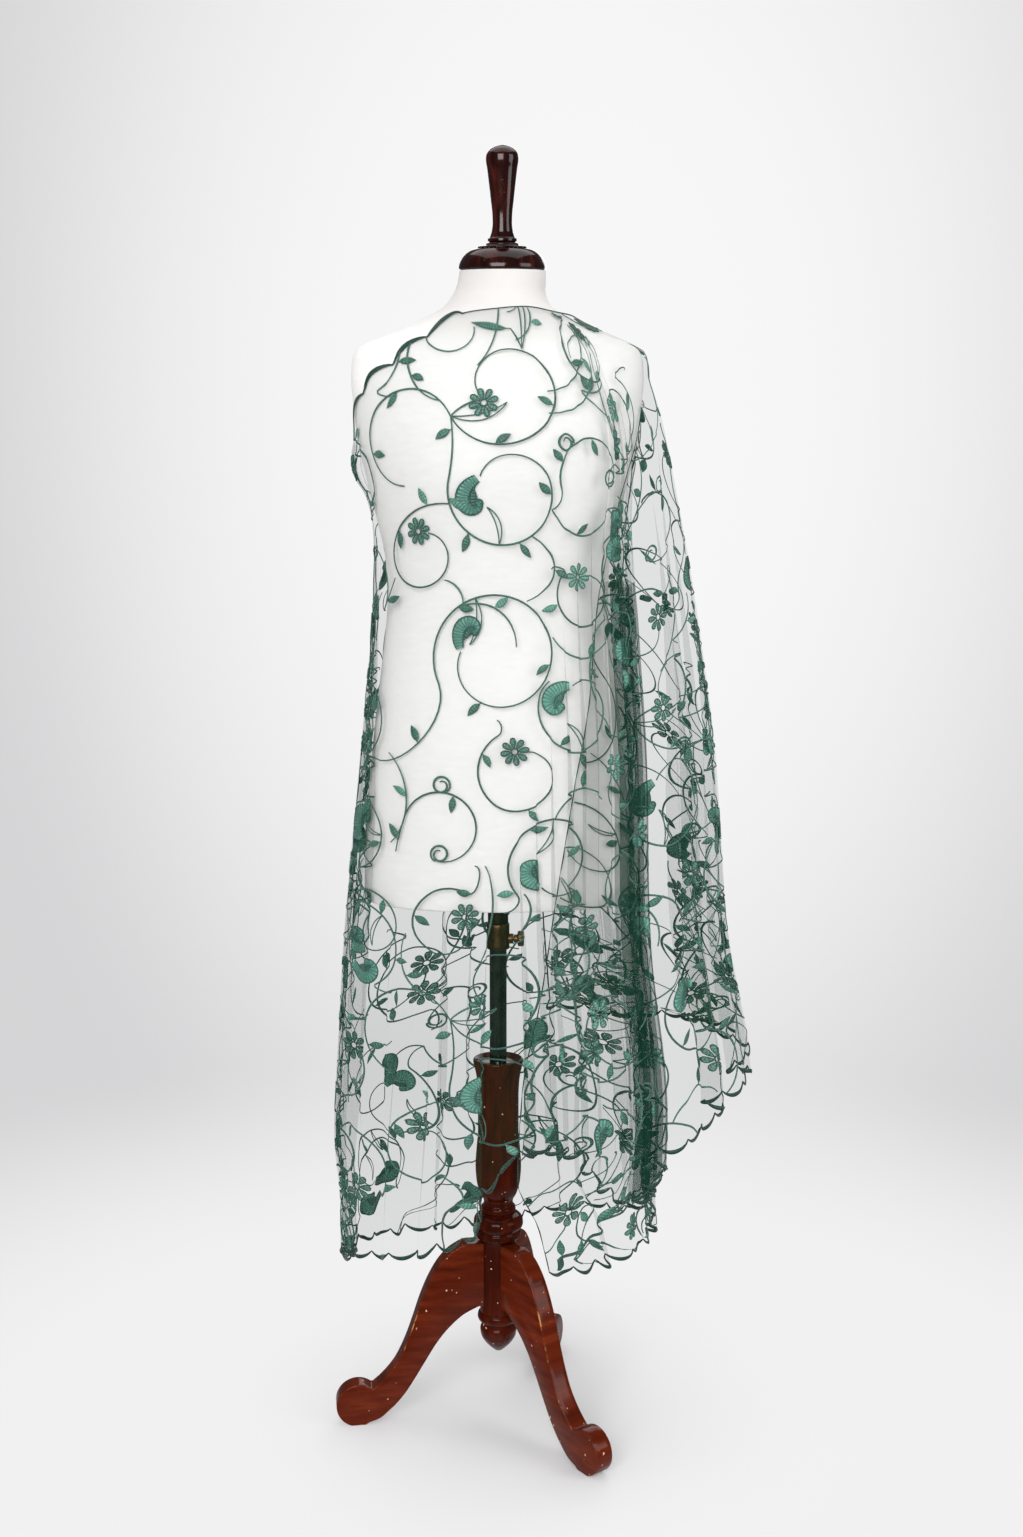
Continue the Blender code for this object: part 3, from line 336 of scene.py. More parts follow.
def cloth_point(angle, height):
    first_radius, first_angle = first_turn(np.minimum(angle, SEAM), height)
    second_radius, second_angle = second_turn(np.maximum(angle, SEAM), height)
    radius = np.where(angle < SEAM, first_radius, second_radius)
    flat = polar(np.where(angle < SEAM, first_angle, second_angle), radius)
    return np.concatenate([flat, (height + 0 * radius)[..., None]], axis=-1)


def edge_height(first_edge, second_edge, angle):
    return np.where(angle < SEAM, read(first_edge, 1, angle), read(second_edge, 1, angle))


def scallops(lengths, total, width, depth):
    count = max(1, round(total / width))
    phase = count * lengths / total
    return depth * np.abs(np.sin(np.pi * phase)) ** SCALLOP_FULLNESS, phase, count


def running_length(points):
    steps = np.linalg.norm(np.diff(points, axis=0), axis=-1)
    return np.concatenate([np.zeros((1,) + steps.shape[1:]), np.cumsum(steps, axis=0)])


# lowest and highest line of the chart, and their distance
CHART_HEIGHTS = (0.16, 1.50, 0.010)
# above this height the chart follows the cloth over the shoulder
CHART_SHOULDER = 1.295
CHART_ANCHOR = 268.0
CHART_MIDDLE = 0.95
CHART_BLEND = 0.6


class Cloth:
    """The whole net as one grid of points, rows from the top edge to the hem, with its chart.

    The chart is the cloth laid flat: s runs along it from the front's middle, v is the height.
    """

    def __init__(self):
        self.columns = self.column_angles()
        top = edge_height(FIRST_TOP, SECOND_TOP, self.columns) + self.neckline(self.columns)
        hem = edge_height(FIRST_HEM, SECOND_HEM, self.columns) - self.hem_lobes
        rows = np.linspace(0, 1, CLOTH_ROWS)[:, None]
        rows = (1 - ROWS_DENSER_AT_TOP) * rows + ROWS_DENSER_AT_TOP * rows**2
        self.heights = top + (hem - top) * rows
        lobes = np.interp(self.columns, self.neck_angles, self.neck_lobes, 0.0, 0.0)
        angles = self.columns - NECKLINE_BULGE * lobes * (1 - ramp(0.0, NECKLINE_BULGE_ROWS, rows))
        self.points = cloth_point(angles, self.heights)
        normals = np.cross(np.gradient(self.points, axis=0), np.gradient(self.points, axis=1))
        self.normals = normals / np.linalg.norm(normals, axis=-1, keepdims=True)
        self.make_chart()

    def column_angles(self):
        """Columns evenly spaced along each turn's hem, with one on each cusp of its scallops."""
        turns = []
        for low, high, edge in ((STRETCHES[0].first, SEAM, FIRST_HEM), (SEAM, CLOTH_END, SECOND_HEM)):
            fine = np.linspace(low, high, 4000)
            lengths = running_length(cloth_point(np.clip(fine, low, high - 1e-6), read(edge, 1, fine)))
            count = max(1, round(lengths[-1] / SCALLOP_WIDTH))
            places = np.linspace(0, lengths[-1], count * COLUMNS_PER_SCALLOP + 1)
            depth, phase, _ = scallops(places, lengths[-1], SCALLOP_WIDTH, SCALLOP_DEPTH)
            turn = np.stack([np.interp(places, lengths, fine), depth, phase])
            turns.append(turn if high == CLOTH_END else turn[:, :-1])
        angles, self.hem_lobes, self.hem_phase = np.concatenate(turns, axis=1)
        return angles

    def neckline(self, angles):
        fine = np.linspace(*NECKLINE_SCALLOPS, 1500)
        lengths = running_length(cloth_point(fine, read(SECOND_TOP, 1, fine)))
        at = np.interp(angles, fine, lengths)
        depth, _, count = scallops(at, lengths[-1], NECKLINE_SCALLOP_WIDTH, NECKLINE_SCALLOP_DEPTH)
        self.neck_angles = fine
        self.neck_lobes = np.abs(np.sin(np.pi * count * lengths / lengths[-1]))
        return depth

    def make_chart(self):
        """s and the row for each column and each height of the chart."""
        self.chart_v = np.arange(*CHART_HEIGHTS)
        steps = running_length(self.points)
        rows = np.empty((len(self.chart_v), len(self.columns)))
        for c, (height, length) in enumerate(zip(self.heights.T, steps.T)):
            level = np.interp(-CHART_SHOULDER, -height, length)
            v = np.where(height > CHART_SHOULDER, CHART_SHOULDER + level - length, height)
            rows[:, c] = np.interp(-self.chart_v, -v, np.arange(CLOTH_ROWS))
        lines = self.sample(self.points, rows, np.broadcast_to(np.arange(len(self.columns)), rows.shape))
        lengths = running_length(np.swapaxes(lines, 0, 1)).T
        anchor = np.searchsorted(self.columns, CHART_ANCHOR)
        lengths = lengths - lengths[:, anchor:anchor + 1]
        middle = lengths[np.argmin(np.abs(self.chart_v - CHART_MIDDLE))]
        self.chart_s = middle + CHART_BLEND * (lengths - middle)
        self.chart_rows = rows

    def sample(self, grid, row, column):
        """The grid's values between its points."""
        r = np.clip(np.floor(row).astype(int), 0, grid.shape[0] - 2)
        c = np.clip(np.floor(column).astype(int), 0, grid.shape[1] - 2)
        fr = np.clip(row - r, 0, 1)
        fc = np.clip(column - c, 0, 1)
        if grid.ndim == 3:
            fr, fc = fr[..., None], fc[..., None]
        near = grid[r, c] * (1 - fc) + grid[r, c + 1] * fc
        far = grid[r + 1, c] * (1 - fc) + grid[r + 1, c + 1] * fc
        return near * (1 - fr) + far * fr

    def locate(self, s, v):
        """Row and column of places in the chart, and which of them lie on the cloth."""
        level = (v - self.chart_v[0]) / (self.chart_v[1] - self.chart_v[0])
        low = np.zeros(len(s))
        high = np.full(len(s), len(self.columns) - 1.0)
        for _ in range(18):
            middle = (low + high) / 2
            below = self.sample(self.chart_s, level, middle) < s
            low = np.where(below, middle, low)
            high = np.where(below, high, middle)
        column = (low + high) / 2
        row = self.sample(self.chart_rows, level, column)
        last = len(self.columns) - 1.01
        on_cloth = (column > 0.01) & (column < last) & (row > 0.01) & (row < CLOTH_ROWS - 1.01)
        return row, column, on_cloth


cloth = Cloth()

# ---- Meshes ----


def mesh_object(name, points, quads, materials, triangles=()):
    """A smooth mesh object, given in metres about the pole's axis."""
    mesh = bpy.data.meshes.new(name)
    points = np.asarray(points, float).reshape(-1, 3) + AXIS
    quads = np.asarray(quads, np.int32).reshape(-1, 4)
    triangles = np.asarray(triangles, np.int32).reshape(-1, 3)
    corners = np.concatenate([quads.ravel(), triangles.ravel()])
    starts = np.concatenate([np.arange(0, quads.size, 4), np.arange(quads.size, len(corners), 3)])
    mesh.vertices.add(len(points))
    mesh.vertices.foreach_set("co", points.astype(np.float32).ravel())
    mesh.loops.add(len(corners))
    mesh.loops.foreach_set("vertex_index", corners)
    mesh.polygons.add(len(starts))
    mesh.polygons.foreach_set("loop_start", starts.astype(np.int32))
    mesh.update(calc_edges=True)
    mesh.validate()
    mesh.shade_smooth()
    for material in materials:
        mesh.materials.append(material)
    obj = bpy.data.objects.new(name, mesh)
    bpy.context.scene.collection.objects.link(obj)
    return obj


def grid_quads(rows, columns, closed=False):
    """Quads between rows of points. A closed grid joins its last column to its first."""
    r, c = np.meshgrid(np.arange(rows - 1), np.arange(columns if closed else columns - 1), indexing="ij")
    following = (c + 1) % columns
    return np.stack([
        r * columns + c, (r + 1) * columns + c, (r + 1) * columns + following, r * columns + following,
    ], axis=-1).reshape(-1, 4)


def add_uv(obj, values):
    """A UV map given for each vertex."""
    layer = obj.data.uv_layers.new(name="stitches")
    corners = np.empty(len(obj.data.loops), np.int32)
    obj.data.loops.foreach_get("vertex_index", corners)
    layer.uv.foreach_set("vector", np.asarray(values, np.float32)[corners].ravel())


def add_tints(obj, values):
    attribute = obj.data.attributes.new("tint", "FLOAT", "POINT")
    attribute.data.foreach_set("value", np.asarray(values, np.float32))


def belongs(obj, body, node=None):
    """The body that a piece rides on and the CAD node that it stands for."""
    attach(obj, body)
    if node:
        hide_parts(node)
    return obj


# ---- Materials ----


class Nodes:
    """Helpers that build the nodes of a material or the world."""

    def __init__(self, tree, coordinates):
        self.tree = tree
        self.coordinates = self.node("ShaderNodeTexCoord").outputs[coordinates]

    def node(self, kind, **settings):
        made = self.tree.nodes.new(kind)
        for name, value in settings.items():
            setattr(made, name, value)
        return made

    def link(self, source, target):
        self.tree.links.new(source, target)

    def made(self, kind, inputs, result, **settings):
        """A node's output, with each input set to a number or colour or linked to a source."""
        node = self.node(kind, **settings)
        for name, value in inputs.items():
            if isinstance(value, bpy.types.NodeSocket):
                self.link(value, node.inputs[name])
            else:
                colour = isinstance(value, tuple) and node.inputs[name].type == "RGBA"
                node.inputs[name].default_value = (*value, 1) if colour else value
        return node.outputs[result]

    def stretched(self, scale, rotation=(0, 0, 0), source=None, location=(0, 0, 0)):
        inputs = {"Scale": scale, "Rotation": rotation, "Location": location, "Vector": source or self.coordinates}
        return self.made("ShaderNodeMapping", inputs, "Vector")

    def noise(self, scale, detail=3.0, roughness=0.5, vector=None):
        inputs = {"Scale": scale, "Detail": detail, "Roughness": roughness, "Vector": vector or self.coordinates}
        return self.made("ShaderNodeTexNoise", inputs, "Fac")

    def wave(self, scale, distortion, vector, direction="X"):
        inputs = {"Scale": scale, "Distortion": distortion, "Vector": vector}
        return self.made("ShaderNodeTexWave", inputs, "Fac", bands_direction=direction)

    def colours(self, amount, stops):
        """A colour ramp through (place, (r, g, b)) stops."""
        made = self.node("ShaderNodeValToRGB")
        elements = made.color_ramp.elements
        for k, (place, colour) in enumerate(stops):
            element = elements[k] if k < 2 else elements.new(place)
            element.position = place
            element.color = (*colour, 1)
        self.link(amount, made.inputs["Fac"])
        return made.outputs["Color"]

    def mix(self, amount, first, second):
        return self.made("ShaderNodeMix", {"Factor": amount, 6: first, 7: second}, 2, data_type="RGBA")

    def mix_shaders(self, amount, first, second):
        return self.made("ShaderNodeMixShader", {"Fac": amount, 1: first, 2: second}, "Shader")

    def maths(self, operation, first, second, clamp=False):
        return self.made("ShaderNodeMath", {0: first, 1: second}, "Value", operation=operation, use_clamp=clamp)

    def spread(self, value, low, high, start=0.0, end=1.0, kind="LINEAR"):
        inputs = {"Value": value, "To Min": low, "To Max": high, "From Min": start, "From Max": end}
        return self.made("ShaderNodeMapRange", inputs, "Result", interpolation_type=kind)

    def parts(self, place):
        return self.made("ShaderNodeSeparateXYZ", {"Vector": self.coordinates}, place)


class Finish(Nodes):
    """A material with one Principled shader and helpers for the nodes before it."""

    def __init__(self, name, roughness, metallic=0.0, **sockets):
        self.material = bpy.data.materials.new(name)
        self.material.use_nodes = True
        super().__init__(self.material.node_tree, "Object")
        self.shader = self.tree.nodes["Principled BSDF"]
        for socket, value in dict(sockets, Roughness=roughness, Metallic=metallic).items():
            self.shader.inputs[socket.replace("_", " ")].default_value = value

    def attribute(self, name):
        return self.node("ShaderNodeAttribute", attribute_name=name).outputs["Fac"]

    def stitch_map(self):
        return self.node("ShaderNodeUVMap", uv_map="stitches").outputs["UV"]

    def colour(self, source):
        self.link(source, self.shader.inputs["Base Color"])

    def rough(self, source):
        self.link(source, self.shader.inputs["Roughness"])

    def bump(self, height, distance, strength):
        inputs = {"Distance": distance, "Strength": strength, "Height": height}
        self.link(self.made("ShaderNodeBump", inputs, "Normal"), self.shader.inputs["Normal"])


def scaled(colour, share):
    return tuple(share * part for part in colour)


def net_finish(name, alpha, dark, light):
    """Fine net, seen as a tint: its threads cover a share of what is behind it."""
    finish = Finish(name, 0.7, Alpha=alpha, Specular_IOR_Level=0.04)
    cells = finish.made("ShaderNodeTexVoronoi", {"Scale": 620.0, "Vector": finish.coordinates}, "Distance",
                        feature="DISTANCE_TO_EDGE")
    threads = finish.spread(cells, 1.0, 0.0)
    tone = finish.colours(finish.noise(14.0, 4.0), ((0.30, dark), (0.70, light)))
    finish.colour(finish.mix(finish.maths("MULTIPLY", threads, 0.35), tone, (0.006, 0.040, 0.025)))
    finish.bump(threads, 0.0003, 0.5)
    return finish.material


def thread_finish(name, dark, light):
    """Satin stitch: bands of thread across each stem and leaf, from the stitching's own map."""
    finish = Finish(name, 0.42, Specular_IOR_Level=0.45, Sheen_Weight=0.25, Sheen_Roughness=0.35)
    stitches = finish.stitch_map()
    bands = finish.wave(95.0, 1.2, finish.stretched((1.0, 0.55, 1.0), source=stitches))
    fine = finish.noise(900.0, 2.0, vector=stitches)
    clusters = finish.noise(160.0, 3.0, vector=stitches)
    amount = finish.maths("ADD", finish.attribute("tint"), finish.spread(clusters, -0.35, 0.35), True)
    base = finish.mix(amount, dark, light)
    shaded = finish.mix(finish.spread(bands, 0.55, 0.0), base, scaled(dark, 0.45))
    finish.colour(finish.mix(finish.spread(fine, 0.0, 0.25), shaded, light))
    finish.rough(finish.spread(fine, 0.34, 0.55))
    finish.bump(bands, 0.0006, 0.8)
    return finish.material


def canvas_finish():
    """Plain-woven cotton, with painted shade greying it at the neck and shoulders."""
    finish = Finish("form_canvas", 0.86, Specular_IOR_Level=0.2, Sheen_Weight=0.12, Sheen_Roughness=0.5)
    warp = finish.wave(900.0, 2.0, finish.stretched((1, 1, 0.02)), "X")
    weft = finish.wave(900.0, 2.0, finish.stretched((0.02, 0.02, 1)), "Z")
    weave = finish.maths("MULTIPLY", warp, weft)
    slubs = finish.noise(60.0, 5.0, 0.6, finish.stretched((1, 1, 3.0)))
    tone = finish.colours(slubs, ((0.3, (0.80, 0.79, 0.78)), (0.7, (0.85, 0.84, 0.83))))
    # painted shade: the canvas darkens from 1.30 m up to 1.37 m, over the neck and shoulders
    painted_neck_shade = finish.spread(finish.parts("Z"), 0.0, 1.0, 1.30, 1.37, "SMOOTHSTEP")
    tone = finish.mix(finish.maths("MULTIPLY", painted_neck_shade, 0.9), tone, (0.60, 0.580, 0.562))
    finish.colour(finish.mix(finish.spread(weave, 0.10, 0.0), tone, (0.62, 0.60, 0.57)))
    finish.bump(finish.maths("ADD", weave, slubs), 0.0003, 0.45)
    return finish.material


BLACK = (0, 0, 0)
BARE_WOOD = (0.60, 0.45, 0.30)


def wood_finish(name, dark, mid, light, along=(7.0, 7.0, 1.0), uses_map=False, roughness=0.13, wear=0.0,
                shine=0.13, chip=BARE_WOOD):
    """Varnished mahogany: long pores and streaks under a glossy varnish, with small chips to bare wood."""
    finish = Finish(name, roughness, Coat_Weight=0.06, Coat_Roughness=0.05, Specular_IOR_Level=shine)
    if uses_map:
        grain = finish.stretched(along, (0, 0, -0.9), finish.stitch_map())
    else:
        grain = finish.stretched(along)
    streaks = finish.noise(13.0, 5.0, 0.55, grain)
    pores = finish.noise(120.0, 3.0, 0.6, grain)
    tone = finish.colours(streaks, ((0.30, dark), (0.52, mid), (0.74, light)))
    tone = finish.mix(finish.spread(pores, 0.35, 0.0), tone, scaled(dark, 0.6))
    clouds = finish.colours(finish.noise(9.0), ((0.35, BLACK), (0.75, (0.6, 0.6, 0.6))))
    tone = finish.mix(clouds, tone, dark)
    rubbed = finish.colours(finish.noise(26.0, 5.0, 0.65), ((0.66 - wear, BLACK), (0.74 - wear, (1, 1, 1))))
    worn = (min(light[0] * (1.4 + 14 * wear), 0.6), min(light[1] * (1.5 + 40 * wear), 0.3),
            light[2] * (1.4 + 40 * wear))
    tone = finish.mix(finish.maths("MULTIPLY", rubbed, 0.35 + wear * 4), tone, worn)
    chipped = finish.colours(finish.noise(190.0, 1.0), ((0.758, BLACK), (0.768, (1, 1, 1))))
    finish.colour(finish.mix(chipped, tone, chip))
    finish.rough(finish.spread(streaks, roughness - 0.03, roughness + 0.09))
    finish.bump(finish.maths("SUBTRACT", pores, finish.maths("MULTIPLY", chipped, 2.0)), 0.0003, 0.07)
    return finish.material


def metal_finish(name, dark, light, roughness):
    finish = Finish(name, roughness, 1.0)
    scratches = finish.noise(45.0, 4.0, 0.7, finish.stretched((1, 1, 26.0)))
    finish.colour(finish.colours(finish.noise(60.0, 5.0, 0.6), ((0.32, dark), (0.68, light))))
    finish.rough(finish.spread(scratches, roughness * 0.6, roughness * 1.7))
    finish.bump(scratches, 0.00008, 0.4)
    return finish.material


NET = net_finish("net", 0.108, (0.010, 0.078, 0.038), (0.020, 0.108, 0.050))
# the gathered stretch's net: denser threads, and darker colours that are painted shade inside its close folds
SHADED_GATHERED_NET = net_finish("shaded_gathered_net", 0.42, (0.008, 0.048, 0.029), (0.016, 0.070, 0.046))
THREAD = thread_finish("green_thread", (0.003, 0.045, 0.031), (0.122, 0.335, 0.260))
BORDER_THREAD = thread_finish("border_thread", (0.003, 0.026, 0.018), (0.025, 0.110, 0.080))
CANVAS = canvas_finish()
DARK_WOOD = wood_finish(
    "dark_varnished_wood", (0.005, 0.001, 0.001), (0.020, 0.003, 0.002), (0.085, 0.011, 0.006), roughness=0.10,
    shine=0.34, chip=(0.110, 0.030, 0.016))
RED_WOOD = wood_finish("red_varnished_wood", (0.020, 0.003, 0.001), (0.058, 0.006, 0.0016), (0.108, 0.013, 0.003))
LEG_WOOD = wood_finish(
    "leg_wood", (0.050, 0.006, 0.0015), (0.120, 0.014, 0.003), (0.195, 0.031, 0.007), (1.0, 6.0, 1.0), True)
EDGE_WOOD = wood_finish(
    "worn_edge_wood", (0.060, 0.009, 0.003), (0.120, 0.020, 0.007), (0.200, 0.045, 0.016), (1.0, 6.0, 1.0), True,
    wear=0.10)
STEEL = metal_finish("bright_steel", (0.110, 0.114, 0.106), (0.240, 0.245, 0.232), 0.14)
BRONZE = metal_finish("bronze", (0.080, 0.046, 0.020), (0.210, 0.130, 0.060), 0.34)
DARK_METAL = metal_finish("dark_metal", (0.040, 0.026, 0.018), (0.085, 0.055, 0.036), 0.42)

# ---- The net ----

NET_CUT_WIDTH = 1.10
# the mesh's area as a share of the cut, because it leaves out the finest gathers
AREA_SHARE = 0.85


def add_net(stretch):
    """One stretch of the net as a single layer, sharing its end columns with its neighbours."""
    first = int(np.searchsorted(cloth.columns, stretch.first - 1e-6))
    last = int(np.argmin(np.abs(cloth.columns - stretch.last)))
    points = cloth.points[:, first:last + 1]
    obj = mesh_object("net_" + stretch.name, points, grid_quads(*points.shape[:2]), [NET, SHADED_GATHERED_NET])
    angles = cloth.columns[first:last]
    # faces of the gathered stretch get the denser net with painted shade
    gathered = (angles > GATHERED[0]) & (angles < GATHERED[1]) & (cloth.heights[1:, first:last] < GATHERED_BELOW)
    obj.data.polygons.foreach_set("material_index", gathered.astype(np.int32).ravel())
    area = np.linalg.norm(np.cross(np.diff(points, axis=0)[:, :-1], np.diff(points, axis=1)[:-1]), axis=-1).sum()
    return belongs(obj, "form", stretch.name), (first, last), area / NET_CUT_WIDTH / AREA_SHARE


nets = [add_net(stretch) for stretch in STRETCHES]

# ---- The embroidery ----

MM = 0.001
STEM = 1.08
STEM_HEIGHT = 0.55
STEP = 3.6
PETALS = 8
PATTERN_SEED = 7


class Stitching:
    """Raised stitches, gathered as tubes in the chart and then laid on the cloth."""

    def __init__(self):
        self.tubes = []
        self.whole = [False]
        self.count = 0

    def new_group(self, whole):
        """Stitches of one group are dropped together when whole and partly off the cloth."""
        self.whole.append(whole)

    def tube(self, path, width, height, tint, sides=4, closed=False):
        """A flattened tube along a path in millimetres. width and height are halves, one for each point."""
        path = np.asarray(path, float)
        count = len(path)
        along = np.roll(path, -1, axis=0) - np.roll(path, 1, axis=0) if closed else np.gradient(path, axis=0)
        side = sideways(along / np.maximum(np.linalg.norm(along, axis=1, keepdims=True), 1e-9))
        ring = polar(around(sides))
        across = np.broadcast_to(width, count)[:, None] * ring[:, 0]
        raised = np.broadcast_to(height, count)[:, None] * ring[:, 1]
        flat = path[:, None] + side[:, None] * across[..., None]
        self.tubes.append((
            np.concatenate([flat, raised[..., None]], axis=-1).reshape(-1, 3),
            grid_quads(count + closed, sides, True) % (count * sides) + self.count,
            np.stack([np.repeat(running_length(path), sides), across.ravel()], axis=1),
            np.full(count * sides, tint),
            np.full(count * sides, len(self.whole) - 1),
        ))
        self.count += count * sides

    def lay(self):
        """Points on the cloth and the quads to keep, and each point's map, tint, group and column."""
        places, quads, maps, tints, groups = (np.concatenate(part) for part in zip(*self.tubes))
        row, column, on_cloth = cloth.locate(places[:, 0] * MM, places[:, 1] * MM)
        whole = np.array(self.whole)
        touched = np.zeros(len(whole), bool)
        touched[groups[~on_cloth]] = True
        good = on_cloth & ~(whole & touched)[groups]
        normal = cloth.sample(cloth.normals, row, column)
        points = cloth.sample(cloth.points, row, column) + normal * places[:, 2:] * MM
        return points, quads[good[quads].all(axis=1)], maps * MM, tints, groups, column


def along_path(path, length, at):
    return np.stack([np.interp(at, length, path[:, 0]), np.interp(at, length, path[:, 1])], axis=-1)


def resampled(path):
    path = np.asarray(path, float)
    length = running_length(path)
    count = max(3, math.ceil(length[-1] / STEP) + 1)
    return along_path(path, length, np.linspace(0, length[-1], count))


def bezier(a, b, c, d, count):
    t = np.linspace(0, 1, count)[:, None]
    a, b, c, d = (np.asarray(p, float) for p in (a, b, c, d))
    return (1 - t) ** 3 * a + 3 * (1 - t) ** 2 * t * b + 3 * (1 - t) * t**2 * c + t**3 * d


def stem(work, path, width=STEM, tint=0.32, tapered=True):
    path = resampled(path)
    swell = 0.75 + 0.35 * np.sin(np.pi * np.clip(np.linspace(0, 1, len(path)) * 1.1, 0, 1))
    work.tube(path, width * swell if tapered else width, STEM_HEIGHT * width / STEM, tint)


def leaf(work, base, direction, length, width, tint, bend=0.0):
    """A pointed leaf with a short stalk."""
    t = np.linspace(0, 1, 10)
    steps = polar(direction + bend * (t - 0.3)) * length / 9
    path = np.asarray(base, float) + np.cumsum(steps, axis=0) - steps[0]
    shape = np.sin(np.pi * np.clip((t - 0.10) / 0.90, 0, 1) ** 0.85) ** 0.85
    widths = np.maximum(width / 2 * shape, np.where(t < 0.15, 0.7, 0.15))
    work.new_group(True)
    work.tube(path, widths, np.maximum(0.75 * shape, 0.3), tint, sides=6)
    work.tube(path[1:-1], 0.35, 1.0, max(tint - 0.25, 0.0))


def flower(work, centre, radius, turn, tint):
    """Spoon-shaped petals, each an outline round a lighter filling, about an open ring."""
    work.new_group(True)
    centre = np.asarray(centre, float)
    inner = radius * 0.30
    t = np.linspace(0, 1, 6)
    shape = (0.35 + 0.65 * t) * np.sin(np.pi * (0.12 + 0.80 * t)) ** 0.6
    round_it = polar(around(12))
    reach = (inner + radius) / 2 + (radius - inner) / 2 * round_it[:, :1]
    swell = radius * 0.175 * round_it[:, 1:] * (1 + 0.45 * round_it[:, :1])
    for petal in turn + around(PETALS):
        out = polar(petal)
        spine = centre + out * (inner + (radius - inner) * (0.08 + 0.84 * t[:, None]))
        work.tube(spine, radius * 0.17 * shape, 0.45, min(tint + 0.42, 1.0), sides=6)
        work.tube(centre + out * reach + sideways(out) * swell, 0.85, 0.85, tint * 0.5, closed=True)
    work.tube(centre + polar(around(16)) * inner * 0.80, 1.0, 1.0, tint * 0.5, closed=True)


def paisley(work, base, direction, size, hand, tint):
    """A fan of ribs that narrows and curls over, with an outline, a dark leaf along its inside and an eye."""
    work.new_group(True)
    count = 21
    t = np.linspace(0, 1, count)
    steps = polar(direction + hand * (-38 + 235 * t**1.7)) * (size * (0.080 - 0.042 * t))[:, None]
    path = np.asarray(base, float) + np.cumsum(steps, axis=0)
    widths = size * 0.20 * np.sin(np.pi * np.clip(0.10 + 0.74 * t, 0, 1)) ** 0.7 * (1 - 0.42 * t)
    side = sideways(np.gradient(path, axis=0))
    side /= np.linalg.norm(side, axis=1, keepdims=True)
    work.tube(path, widths * 0.97, 0.45, min(tint + 0.50, 0.85), sides=8)
    for edge in (1, -1):
        work.tube(path + edge * side * widths[:, None], 0.6, 0.9, tint * 0.5)
    for k in range(1, count - 2):
        slant = (path[k + 1] - path[k]) * 1.1 * np.array([[1.0], [0.5], [0.0], [0.5], [1.0]])
        work.tube(path[k] + side[k] * widths[k] * np.linspace(-1, 1, 5)[:, None] + slant, 0.30, 0.95, tint * 0.4)
    eye = polar(around(12)) * size * 0.085
    work.tube(path[-1] + eye, 0.95, 1.0, tint * 0.4, closed=True)
    work.tube(path[-1] + eye * 0.45, size * 0.04, 0.9, min(tint + 0.2, 1.0), closed=True)
    leaf(work, path[2] + side[2] * hand * widths[2], direction + hand * 10, size * 0.62, size * 0.19,
         tint * 0.25, hand * 45)


def split_tendril(work, base, direction, length, hand):
    """Two fine stems that part and meet again at a point."""
    base = np.asarray(base, float)
    out = polar(direction) * length
    side = sideways(out) * hand
    for bulge in (0.10, 0.24):
        work.new_group(False)
        near, far = base + out * 0.35 + side * bulge * 1.2, base + out * 0.75 + side * bulge
        stem(work, bezier(base, near, far, base + out, 18), 0.75, 0.2, False)


def curl(work, base, direction, radius, hand):
    """A spiral of one and a half turns, thicker at its outer end."""
    t = np.linspace(0, 1, 34)
    steps = polar(direction + hand * 560 * t**0.85) * (radius * 0.27 * (1 - 0.72 * t))[:, None]
    work.new_group(False)
    work.tube(np.asarray(base, float) + np.cumsum(steps, axis=0), 0.75 + 0.65 * np.sin(np.pi * (0.15 + 0.85 * t)),
              0.6, 0.2)
